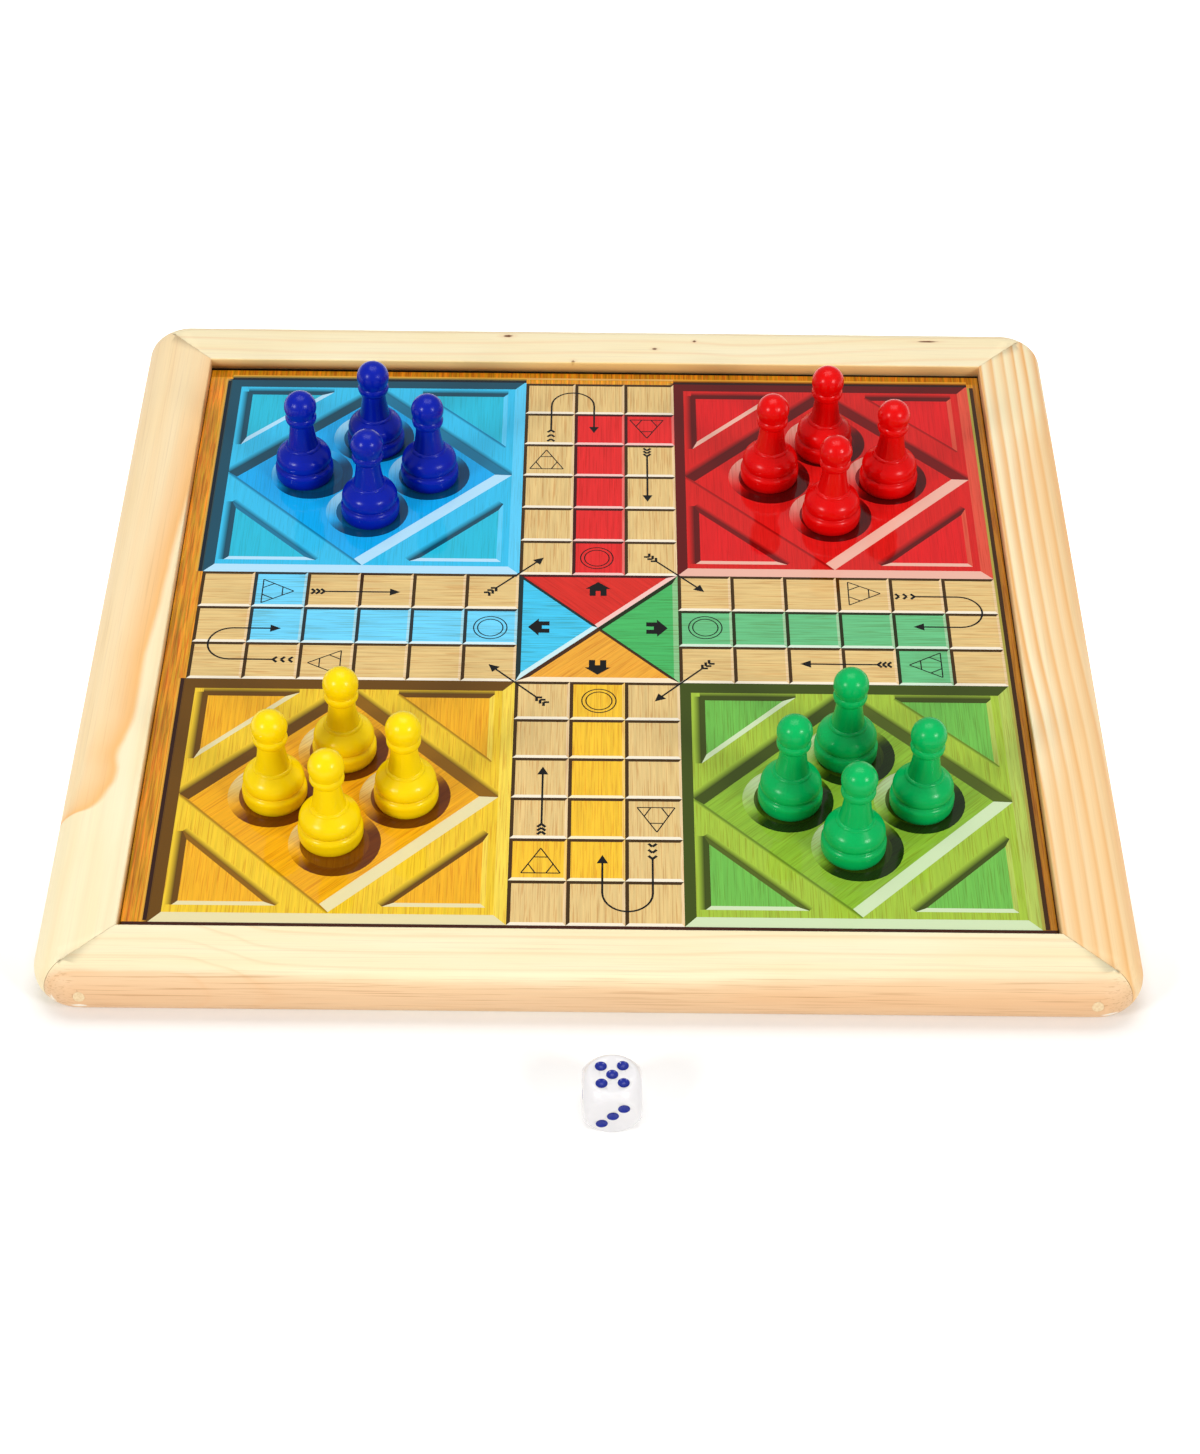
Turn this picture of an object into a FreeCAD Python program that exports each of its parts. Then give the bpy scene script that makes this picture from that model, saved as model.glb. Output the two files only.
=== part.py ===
import FreeCAD, Part
import os
from math import acos, atan2, cos, hypot, sin, sqrt
from FreeCAD import Vector

# Reversible chess and ludo board. Four mitred pine rails hold a panel that is printed on both faces.
# Sixteen pawns stand on the ludo face, and one die lies on the table in front.
# Millimetres, +Z up, the players' front towards -Y. The origin is on the table, in the middle of the
# whole set's footprint, so the board's own centre lies a little behind it.

# Ludo print
CELL = 16.6                 # side of one printed square
CELLS = 15                  # squares along one side
YARD_CELLS = 6              # squares along one side of a coloured corner yard
DISC_REACH = 19.1           # from a yard's centre to the centre of each of its four discs
PRINT_MARGIN = 6.0          # printed border between the squares and the frame
PRINT_SHIFT_X = 1.7         # the sheet is stuck on slightly off centre
PRINT_SHIFT_Y = -0.55

# Frame
RAIL_WIDTH = 22.0
RAIL_THICKNESS = 14.0
NOSE_FLAT = 0.3             # flat band left between the two rounded outer edges
CORNER_RADIUS = 13.5        # the frame's corners in plan
EDGE_BREAK = 0.5            # sanded inner edges
GLUE_LINE = 0.15            # between two mitre faces

# Panel
CORE_THICKNESS = 5.0
SHEET_THICKNESS = 0.25
TONGUE = 5.0                # how far the panel's edges go into the rails
GROOVE_SIDE_PLAY = 0.1      # above and below the panel
GROOVE_END_PLAY = 0.8       # between the panel's edge and the bottom of the groove

# Corner pins, two crossing in each corner
PIN_DIAMETER = 1.4
PIN_LENGTH = 26.0           # shank
PIN_HEAD_DIAMETER = 2.2
PIN_HEAD_HEIGHT = 0.7
PIN_INSET = 8.0             # outwards from the opening's corner to the shank
PIN_STAGGER = 2.4           # height between the two shanks of one corner
PIN_PLAY = 0.05             # round the shank and the filler
FILLER_DIAMETER = 3.2
FILLER_DEPTH = 1.15         # putty over the sunk head, in from the frame's outside

# Pawn, from the foot up
FOOT_RADIUS = 9.4
FOOT_HEIGHT = 5.2
FOOT_SWELL = 0.5            # how far the foot's band bulges past its edges
GROOVE_HEIGHT = 0.7
GROOVE_DEPTH = 0.3          # of the cove, in from the bell's lower edge
BELL_SET_IN = 0.3           # from the foot's edge in to the bell's lower edge
BELL_OVERHANG = 0.3         # how far the bell's widest circle stands out past its lower edge
BELL_RISE = 1.2             # from the groove up to the widest circle
BELL_ROUND = 2.2            # radius of the bell's rounded rim
BELL_HEIGHT = 4.7           # from the widest circle up to the shoulder
BEAD_STEP = 0.85            # how far the shoulder stands out past the neck's foot
BEAD_HEIGHT = 0.9
NECK_FOOT_RADIUS = 4.95
NECK_TOP_RADIUS = 3.8
NECK_HEIGHT = 8.3
NECK_HOLLOW = 0.2           # how far the neck curves in from a straight cone
COLLAR_STEP = 1.2           # how far the collar stands out past the neck's top
COLLAR_LEDGE = 0.6          # left of the collar round the ball's seat
COLLAR_RISE = 2.2           # from the neck up to the collar's widest circle
COLLAR_FALL = 1.4           # from there up to the head
HEAD_RISE = 2.77            # from the ball's seat up to its centre
PAWN_WALL = 2.1             # round the open hollow underneath
HOLLOW_DRAFT = 0.4          # the hollow narrows upwards, so that it leaves its mould

# Die
DIE_SIZE = 15.5
DIE_EDGE_CUT = 0.76         # how far tumbling wore down the middle of each edge, towards a ball
DIE_ROUND = 1.5             # where the ball meets the flat faces
DIE_GAP = 23.5              # from the board's front edge
DIE_X = 6.4                 # to the right of the board's centre
DIE_TURN = 2.2              # degrees, as it came to lie
PIP_DIAMETER = 3.2
PIP_DEPTH = 0.85
PIP_SPACING = 2.9           # between pips on a face
SIX_SPACING = 3.5           # between the three pips of a row of six
PAINT_THICKNESS = 0.15

# Where each pawn was set down, right and back from the centre of its disc
PAWNS = {
    "blue": {"left": (-2.3, -0.2), "right": (0.3, -1.1), "back": (0.9, -3.0), "front": (1.2, -0.7)},
    "red": {"left": (0.0, 0.7), "right": (0.5, -1.6), "back": (-0.7, -3.0), "front": (0.0, -1.4)},
    "yellow": {"left": (0.6, 0.0), "right": (0.5, -0.5), "back": (0.5, -0.9), "front": (-1.2, 3.2)},
    "green": {"left": (0.5, 0.1), "right": (0.4, -0.8), "back": (-1.4, 0.9), "front": (-1.3, 0.0)},
}
YARDS = {"blue": (-1, 1), "red": (1, 1), "yellow": (-1, -1), "green": (1, -1)}
DISCS = {"left": (-1, 0), "right": (1, 0), "back": (0, 1), "front": (0, -1)}

# Pips on each face as columns and rows, and the turn that brings the face up from the top
ONE = [(0, 0)]
TWO = [(-1, -1), (1, 1)]
THREE = TWO + ONE
FOUR = TWO + [(-1, 1), (1, -1)]
FIVE = FOUR + ONE
SIX = FOUR + [(-1, 0), (1, 0)]
DIE_FACES = [
    (FIVE, Vector(1, 0, 0), 0),
    (TWO, Vector(1, 0, 0), 180),
    (THREE, Vector(1, 0, 0), 90),
    (FOUR, Vector(1, 0, 0), -90),
    (SIX, Vector(0, 1, 0), 90),
    (ONE, Vector(0, 1, 0), -90),
]

# Sizes that follow from those above
opening = CELLS * CELL + 2 * PRINT_MARGIN
half_opening = opening / 2
half_board = half_opening + RAIL_WIDTH
nose_radius = (RAIL_THICKNESS - NOSE_FLAT) / 2
panel_side = opening + 2 * TONGUE
panel_thickness = CORE_THICKNESS + 2 * SHEET_THICKNESS
middle_z = RAIL_THICKNESS / 2
face_z = middle_z + panel_thickness / 2
board_y = (DIE_GAP + DIE_SIZE) / 2
pin_place = half_opening + PIN_INSET
past_corner_start = max(pin_place - (half_board - CORNER_RADIUS), 0)
corner_set_back = CORNER_RADIUS - sqrt(CORNER_RADIUS ** 2 - past_corner_start ** 2)
plug_length = corner_set_back + FILLER_DEPTH
yard_reach = (CELLS - YARD_CELLS) / 2 * CELL
foot_edge = FOOT_RADIUS - FOOT_SWELL
bell_edge = foot_edge - BELL_SET_IN
bell_radius = bell_edge + BELL_OVERHANG
shoulder_radius = NECK_FOOT_RADIUS + BEAD_STEP
collar_radius = NECK_TOP_RADIUS + COLLAR_STEP
head_seat_radius = collar_radius - COLLAR_LEDGE
head_radius = sqrt(head_seat_radius ** 2 + HEAD_RISE ** 2)
die_ball_radius = DIE_SIZE / sqrt(2) - DIE_EDGE_CUT
UP = Vector(0, 0, 1)


def slab(side, thickness, z):
    """Square slab with its centre on the board's axis and its underside at z."""
    corner = Vector(-side / 2, -side / 2, z)
    return Part.makeBox(side, side, thickness, corner)


def rounded_blank():
    """The frame's outside: a square with rounded corners and a full bullnose all round."""
    block = slab(2 * half_board, RAIL_THICKNESS, 0)
    upright = [e for e in block.Edges if abs(e.tangentAt(e.FirstParameter).z) > 0.5]
    block = block.makeFillet(CORNER_RADIUS, upright)
    rims = [e for e in block.Edges if abs(e.BoundBox.ZMax - e.BoundBox.ZMin) < EDGE_BREAK]
    return block.makeFillet(nose_radius, rims)


def mitre_wedge():
    """The front quarter of the board between two mitres, less half of each glue line."""
    set_back = GLUE_LINE / sqrt(2)
    reach = 2 * half_board
    apex = Vector(0, -set_back, 0)
    left = Vector(-reach, -reach - set_back, 0)
    right = Vector(reach, -reach - set_back, 0)
    outline = Part.makePolygon([apex, left, right, apex])
    return Part.Face(outline).extrude(Vector(0, 0, RAIL_THICKNESS))


def break_inner_edges(rail):
    """Rounds the front rail's two long edges beside the opening."""
    inner = [
        e for e in rail.Edges
        if abs(e.BoundBox.YMin + half_opening) < GLUE_LINE
        and abs(e.BoundBox.YMax + half_opening) < GLUE_LINE
        and min(abs(e.BoundBox.ZMin), abs(e.BoundBox.ZMin - RAIL_THICKNESS)) < EDGE_BREAK / 2
    ]
    return rail.makeFillet(EDGE_BREAK, inner)


def pin_axis(side, height):
    """Foot of the pocket and the inward direction of a pin driven through the front rail."""
    x = side * pin_place
    return Vector(x, -half_board, height), Vector(0, 1, 0)


def pin_tools(blank, side, height):
    """One pin, its putty plug, and the hole that both go into."""
    outside, inward = pin_axis(side, height)
    head_at = outside + inward * plug_length
    shank_at = head_at + inward * PIN_HEAD_HEIGHT
    shank = Part.makeCylinder(PIN_DIAMETER / 2, PIN_LENGTH, shank_at, inward)
    head = Part.makeCylinder(PIN_HEAD_DIAMETER / 2, PIN_HEAD_HEIGHT, head_at, inward)
    pin = head.fuse(shank).removeSplitter()
    plug = Part.makeCylinder(FILLER_DIAMETER / 2, plug_length, outside, inward).common(blank)
    bore = Part.makeCylinder(PIN_DIAMETER / 2 + PIN_PLAY, PIN_LENGTH, shank_at, inward)
    pocket_depth = plug_length + PIN_HEAD_HEIGHT
    pocket = Part.makeCylinder(FILLER_DIAMETER / 2 + PIN_PLAY, pocket_depth, outside, inward)
    return pin, plug, pocket.fuse(bore)


def quarter_turned(shape, quarter):
    """A copy turned about the board's axis: 0 front, 1 right, 2 back, 3 left."""
    copy = shape.copy()
    copy.rotate(Vector(0, 0, 0), UP, 90 * quarter)
    return copy


def build_frame():
    """Four mitred rails, with the pins through their corners and the putty over the pins."""
    blank = rounded_blank()
    groove_side = panel_side + 2 * GROOVE_END_PLAY
    groove_height = panel_thickness + 2 * GROOVE_SIDE_PLAY
    ring = blank.cut(slab(opening, RAIL_THICKNESS, 0))
    ring = ring.cut(slab(groove_side, groove_height, middle_z - groove_height / 2))
    plain_rail = break_inner_edges(ring.common(mitre_wedge()))

    pins, plugs, holes = [], [], []
    for quarter in range(4):
        # the pins of the side rails run below those of the front and back ones
        height = middle_z + PIN_STAGGER / 2 * (1 if quarter % 2 == 0 else -1)
        for side in (-1, 1):
            pin, plug, hole = pin_tools(blank, side, height)
            pins.append(quarter_turned(pin, quarter))
            plugs.append(quarter_turned(plug, quarter))
            holes.append(quarter_turned(hole, quarter))

    frame = {}
    for quarter, name in enumerate(("rail_front", "rail_right", "rail_back", "rail_left")):
        frame[name] = quarter_turned(plain_rail, quarter).cut(holes)
    frame["corner_pins"] = Part.makeCompound(pins)
    frame["pin_fillers"] = Part.makeCompound(plugs)
    return frame


def build_panel():
    """Fibreboard core with a printed sheet stuck to each face."""
    core_z = middle_z - CORE_THICKNESS / 2
    return {
        "panel_core": slab(panel_side, CORE_THICKNESS, core_z),
        "ludo_sheet": slab(panel_side, SHEET_THICKNESS, core_z + CORE_THICKNESS),
        "chess_sheet": slab(panel_side, SHEET_THICKNESS, core_z - SHEET_THICKNESS),
    }


def on_profile(radius, height):
    return Vector(radius, 0, height)


def line(a, b):
    return Part.LineSegment(on_profile(*a), on_profile(*b)).toShape()


def arc(a, through, b):
    return Part.Arc(on_profile(*a), on_profile(*through), on_profile(*b)).toShape()


def swell(wide, end, start_at_end=False):
    """Arc that leaves the widest circle straight up or down and closes in to the end circle."""
    (wide_r, wide_z), (end_r, end_z) = wide, end
    drop, rise = wide_r - end_r, end_z - wide_z
    radius = (drop ** 2 + rise ** 2) / (2 * drop)
    half_sweep = atan2(rise, radius - drop) / 2
    through = (wide_r - radius + radius * cos(half_sweep), wide_z + radius * sin(half_sweep))
    return arc(end, through, wide) if start_at_end else arc(wide, through, end)


def rounded_slope(rim, round_radius, end):
    """A rounded rim that starts straight up, and the straight slope from it to the end circle."""
    centre = (rim[0] - round_radius, rim[1])
    across, rise = end[0] - centre[0], end[1] - centre[1]
    sweep = atan2(rise, across) - acos(round_radius / hypot(across, rise))
    half_way = (centre[0] + round_radius * cos(sweep / 2), centre[1] + round_radius * sin(sweep / 2))
    leaves = (centre[0] + round_radius * cos(sweep), centre[1] + round_radius * sin(sweep))
    return [arc(rim, half_way, leaves), line(leaves, end)]


def build_pawn():
    """Turned outline of foot, bell, neck, collar and ball, with an open hollow under the bell."""
    bell_foot_z = FOOT_HEIGHT + GROOVE_HEIGHT
    bell_z = bell_foot_z + BELL_RISE
    shoulder_z = bell_z + BELL_HEIGHT
    neck_z = shoulder_z + BEAD_HEIGHT
    neck_top_z = neck_z + NECK_HEIGHT
    collar_z = neck_top_z + COLLAR_RISE
    seat_z = collar_z + COLLAR_FALL
    head_z = seat_z + HEAD_RISE
    top = (0, head_z + head_radius)
    groove_middle = (bell_edge - GROOVE_DEPTH, FOOT_HEIGHT + GROOVE_HEIGHT / 2)
    neck_middle = ((NECK_FOOT_RADIUS + NECK_TOP_RADIUS) / 2 - NECK_HOLLOW, (neck_z + neck_top_z) / 2)
    mouth = (foot_edge - PAWN_WALL, 0)
    hollow_side = (mouth[0] - HOLLOW_DRAFT, bell_z)
    hollow_end = (shoulder_radius - PAWN_WALL, shoulder_z - PAWN_WALL)
    hollow_top = (0, hollow_end[1])

    outline = [
        line(mouth, (foot_edge, 0)),
        arc((foot_edge, 0), (FOOT_RADIUS, FOOT_HEIGHT / 2), (foot_edge, FOOT_HEIGHT)),
        arc((foot_edge, FOOT_HEIGHT), groove_middle, (bell_edge, bell_foot_z)),
        swell((bell_radius, bell_z), (bell_edge, bell_foot_z), start_at_end=True),
        *rounded_slope((bell_radius, bell_z), BELL_ROUND, (shoulder_radius, shoulder_z)),
        swell((shoulder_radius, shoulder_z), (NECK_FOOT_RADIUS, neck_z)),
        arc((NECK_FOOT_RADIUS, neck_z), neck_middle, (NECK_TOP_RADIUS, neck_top_z)),
        swell((collar_radius, collar_z), (NECK_TOP_RADIUS, neck_top_z), start_at_end=True),
        swell((collar_radius, collar_z), (head_seat_radius, seat_z)),
        arc((head_seat_radius, seat_z), (head_radius, head_z), top),
        line(top, hollow_top),
        line(hollow_top, hollow_end),
        swell(hollow_side, hollow_end, start_at_end=True),
        line(hollow_side, mouth),
    ]
    half = Part.Face(Part.Wire(outline))
    return half.revolve(Vector(0, 0, 0), UP, 360)


def build_pawns():
    """Four pawns to a colour, each standing near the centre of its printed disc."""
    pawn = build_pawn()
    pawns = {}
    for colour, places in PAWNS.items():
        yard_x = PRINT_SHIFT_X + YARDS[colour][0] * yard_reach
        yard_y = PRINT_SHIFT_Y + YARDS[colour][1] * yard_reach
        for place, (right, back) in places.items():
            copy = pawn.copy()
            x = yard_x + DISCS[place][0] * DISC_REACH + right
            y = yard_y + DISCS[place][1] * DISC_REACH + back
            copy.translate(Vector(x, y, face_z))
            pawns["pawn_" + colour + "_" + place] = copy
    return pawns


def pip_places():
    """Pip centres as seen from above each face when that face is turned up."""
    for pips, axis, turn in DIE_FACES:
        row = SIX_SPACING if pips is SIX else PIP_SPACING
        for column, line_up in pips:
            yield Vector(column * PIP_SPACING, line_up * row, DIE_SIZE / 2), axis, turn


def build_die():
    """Tumbled cube with a dimple for each pip, and the paint that lines the dimples."""
    half = DIE_SIZE / 2
    cube = Part.makeBox(DIE_SIZE, DIE_SIZE, DIE_SIZE, Vector(-half, -half, -half))
    tumbled = cube.common(Part.makeSphere(die_ball_radius))
    flat_rims = [e for e in tumbled.Edges if len(tumbled.ancestorsOfType(e, Part.Face)) == 2]
    body = tumbled.makeFillet(DIE_ROUND, flat_rims)
    ball_radius = ((PIP_DIAMETER / 2) ** 2 + PIP_DEPTH ** 2) / (2 * PIP_DEPTH)
    dimples, paint = [], []
    for place, axis, turn in pip_places():
        ball = Part.makeSphere(ball_radius, place + UP * (ball_radius - PIP_DEPTH))
        ball.rotate(Vector(0, 0, 0), axis, turn)
        inner = Part.makeSphere(ball_radius, place + UP * (ball_radius - PIP_DEPTH + PAINT_THICKNESS))
        inner.rotate(Vector(0, 0, 0), axis, turn)
        dimples.append(ball)
        paint.append(ball.common(body).cut(inner))
    pieces = {"die_body": body.cut(dimples), "die_pips": Part.makeCompound(paint)}
    lies_at = Vector(DIE_X, -half_board - DIE_GAP - half, half)
    for piece in pieces.values():
        piece.rotate(Vector(0, 0, 0), UP, DIE_TURN)
        piece.translate(lies_at)
    return pieces


os.makedirs("parts", exist_ok=True)
nodes = {**build_frame(), **build_panel(), **build_pawns(), **build_die()}
for name, shape in nodes.items():
    shape.translate(Vector(0, board_y, 0))
    shape.exportStep("parts/" + name + ".step")
    print(name, len(shape.Solids), "solids,", round(shape.Volume), "mm3, valid", shape.isValid())
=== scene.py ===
# %% [markdown]
# # A chess and ludo board
# The real thing is a mitred pine frame round a thin panel. One face of the panel carries a glossy
# ludo print and the other a chess print. Sixteen moulded pawns stand on it and one die lies in
# front. The CAD frame gives every place and size, so this lesson only adds the skin: wood, ink,
# film and plastic.

# %% Load the frame and read the sizes that everything else hangs on
import math
import random

import bmesh
import bpy
from mathutils import Matrix, Vector
from mathutils.geometry import delaunay_2d_cdt


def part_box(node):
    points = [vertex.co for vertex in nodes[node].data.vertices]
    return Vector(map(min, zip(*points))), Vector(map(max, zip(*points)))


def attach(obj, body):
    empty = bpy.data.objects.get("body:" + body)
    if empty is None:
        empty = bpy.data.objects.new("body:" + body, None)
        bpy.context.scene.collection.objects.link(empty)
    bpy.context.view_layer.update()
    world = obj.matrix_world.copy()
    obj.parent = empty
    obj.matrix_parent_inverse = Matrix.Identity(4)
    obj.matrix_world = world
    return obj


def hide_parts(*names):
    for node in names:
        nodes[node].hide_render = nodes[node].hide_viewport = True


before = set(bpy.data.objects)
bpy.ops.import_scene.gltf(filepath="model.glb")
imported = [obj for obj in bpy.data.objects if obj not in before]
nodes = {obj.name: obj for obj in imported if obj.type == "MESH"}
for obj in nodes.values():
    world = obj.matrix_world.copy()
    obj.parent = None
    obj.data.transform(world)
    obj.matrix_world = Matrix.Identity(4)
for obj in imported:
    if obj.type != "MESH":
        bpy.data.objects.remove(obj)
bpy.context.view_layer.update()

MM = 0.001
sheet_low, sheet_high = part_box("ludo_sheet")
underside_low, underside_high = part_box("chess_sheet")
rail_low, rail_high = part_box("rail_front")
board_centre = (sheet_low + sheet_high) / 2
half_sheet = (sheet_high.x - sheet_low.x) / 2
half_opening = board_centre.y - rail_high.y
half_board = board_centre.y - rail_low.y
print("board", round(2 * half_board / MM, 1), "mm, opening", round(2 * half_opening / MM, 1), "mm")

# %% [markdown]
# ## Small helpers
# Colours are easiest to read as the hex values that a screen shows, but sockets want linear light,
# so one function turns them. Another adds a node with its settings and links. The third takes a
# smooth copy of a CAD solid: its loose triangles are merged, then only edges that really turn a
# corner stay sharp. Large faces outweigh small ones in the shading, so a flat top stays flat right
# up to its rounded nose.

# %% Helpers
def channels(hex_code):
    """The three screen values of a hex colour, from 0 to 1."""
    return [int(hex_code[i:i + 2], 16) / 255 for i in (1, 3, 5)]


def linear(hex_code):
    """A hex colour as the linear colour with alpha that sockets and attributes take."""
    lit = [c / 12.92 if c <= 0.04045 else ((c + 0.055) / 1.055) ** 2.4 for c in channels(hex_code)]
    return (*lit, 1.0)


def mixed(ink, other, share):
    """The hex colour that lies a share of the way from one ink to another."""
    blend = [a + (b - a) * share for a, b in zip(channels(ink), channels(other))]
    return "#" + "".join(format(round(255 * min(max(c, 0), 1)), "02X") for c in blend)


def add(tree, kind, inputs=None, **settings):
    """Adds a node. An input takes a value, an output to link, or a node for its first output."""
    node = tree.nodes.new(kind)
    for name, value in settings.items():
        setattr(node, name, value)
    for socket, value in (inputs or {}).items():
        if isinstance(value, bpy.types.Node):
            value = value.outputs[0]
        if isinstance(value, bpy.types.NodeSocket):
            tree.links.new(value, node.inputs[socket])
        else:
            node.inputs[socket].default_value = value
    return node


def blank_material(name):
    """A new material with an empty tree."""
    material = bpy.data.materials.new(name)
    material.use_nodes = True
    material.node_tree.nodes.clear()
    return material, material.node_tree


def place(name, mesh, material, body, node):
    """Links a finished mesh as a piece that stands for a CAD node and rides on its body."""
    mesh.materials.clear()
    mesh.materials.append(material)
    piece = bpy.data.objects.new(name, mesh)
    bpy.context.scene.collection.objects.link(piece)
    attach(piece, body)
    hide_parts(node)
    return piece


def smooth_copy(node, name, crease=math.radians(32)):
    """The CAD solid's mesh with its triangles joined up and its rounded faces shaded round."""
    shell = bmesh.new()
    shell.from_mesh(nodes[node].data)
    bmesh.ops.remove_doubles(shell, verts=shell.verts, dist=0.001 * MM)
    mesh = bpy.data.meshes.new(name)
    shell.to_mesh(mesh)
    shell.free()
    mesh.shade_smooth()
    mesh.set_sharp_from_angle(angle=crease)
    blank = bpy.data.objects.new(name, mesh)
    bpy.context.scene.collection.objects.link(blank)
    blank.modifiers.new("flat faces stay flat", "WEIGHTED_NORMAL").keep_sharp = True
    evaluated = blank.evaluated_get(bpy.context.evaluated_depsgraph_get())
    finished = bpy.data.meshes.new_from_object(evaluated)
    bpy.data.objects.remove(blank)
    return finished


# %% [markdown]
# ## Pine rails
# The frame is sanded pine under a thin clear varnish. Each rail was sawn so far from the middle of
# its log that its growth rings are nearly flat sheets. So a rail gets a frame of its own, in mm
# along it, inwards and up, and one curve in that frame says where a chosen ring runs. The other
# rings follow it side by side, pale in spring and darkening to a line at the end of each year. A
# second curve parts the pale sapwood from the salmon heartwood. Egg-shaped patches give the rest:
# small knots, filler smeared over the nailed corners, and painted light on the back rail's inner
# wall: a warm tint that stands in for the orange light the print bounces into the wall's shade.

# %% Patterns in the wood
def streaks(tree, here, size, detail=2.0):
    """Noise drawn out to a given length, width and height."""
    drawn = add(tree, "ShaderNodeMapping", {"Vector": here, "Scale": size}, vector_type="TEXTURE")
    return add(tree, "ShaderNodeTexNoise", {"Vector": drawn, "Scale": 1.0, "Detail": detail})


def spots_mask(tree, here, spots, ragged, fade, grown=1.0):
    """A mask that is 1 inside each spot and 0 outside. A spot is its middle and its half widths."""
    top = 0.0
    for spot in spots:
        egg = add(tree, "ShaderNodeMapping", {
            "Vector": here, "Location": spot[:3], "Scale": [r * grown for r in spot[3:]],
        }, vector_type="TEXTURE")
        torn = add(tree, "ShaderNodeTexNoise", {"Vector": egg, "Scale": 1.6, "Detail": 3.0})
        reach = add(tree, "ShaderNodeVectorMath", {0: egg}, operation="LENGTH").outputs["Value"]
        reach = add(tree, "ShaderNodeMath", {0: torn, 1: ragged, 2: reach}, operation="MULTIPLY_ADD")
        edge = 1.0 + ragged / 2
        mask = add(tree, "ShaderNodeMapRange", {0: reach, 1: edge, 2: edge - fade, 3: 0.0, 4: 1.0},
                   interpolation_type="SMOOTHSTEP")
        top = add(tree, "ShaderNodeMath", {0: top, 1: mask}, operation="MAXIMUM")
    return top


def outside_of(tree, along, inward, points):
    """How far a place lies outwards of a curve, which is given by points along and inwards."""
    reach, span = 160.0, 40.0
    share = add(tree, "ShaderNodeMapRange", {0: along, 1: -reach, 2: reach})
    curve = add(tree, "ShaderNodeFloatCurve", {"Value": share})
    knots = curve.mapping.curves[0].points
    while len(knots) < len(points):
        knots.new(0.5, 0.5)
    for knot, (run, side) in zip(knots, sorted(points)):
        knot.location = (0.5 + run / reach / 2, 0.5 + side / span)
        knot.handle_type = "AUTO_CLAMPED"
    curve.mapping.update()
    height = add(tree, "ShaderNodeMapRange", {0: curve, 3: -span / 2, 4: span / 2})
    return add(tree, "ShaderNodeMath", {0: height, 1: inward}, operation="SUBTRACT")


# %% Pine finish
SAPWOOD = ("#FCEFC9", "#FBE9BC")
LATE_WOOD = "#EFB066"
RESIN, KNOT, KNOT_HALO = "#B9824F", "#75482A", "#E5AE7C"
# the last colour is painted light: a warm tint for light bounced off the print onto the back rail's
# shaded inner wall
MITRE_LINE, SMEARED_FILLER, PAINTED_WALL_BOUNCE = "#7A5530", "#FBF2E0", "#FAD486"
# patterns in mm along a rail, inwards and up, and how far two of them push a line aside
RING_WAVER_SIZE, RING_WAVER, RING_LEAN = (110, 7, 10), 1.6, 0.3
RING_STRENGTH_SIZE = (150, 7, 9)
BROAD_SIZE = (60, 8, 8)
FIBRE_SIZE = (26, 0.5, 0.5)
RESIN_SIZE = (34, 0.42, 0.42)
HEART_SIZE, HEART_WAVER, HEART_DEPTH = (14, 4, 4), 1.2, 10.0
# the torn line in a mitre: how far it strays, where it starts and is full, and how dark it gets
MITRE_STRAY, MITRE_START, MITRE_FULL, MITRE_SHADE = 1.0 * MM, 0.75 * MM, 0.45 * MM, 0.25


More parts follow.
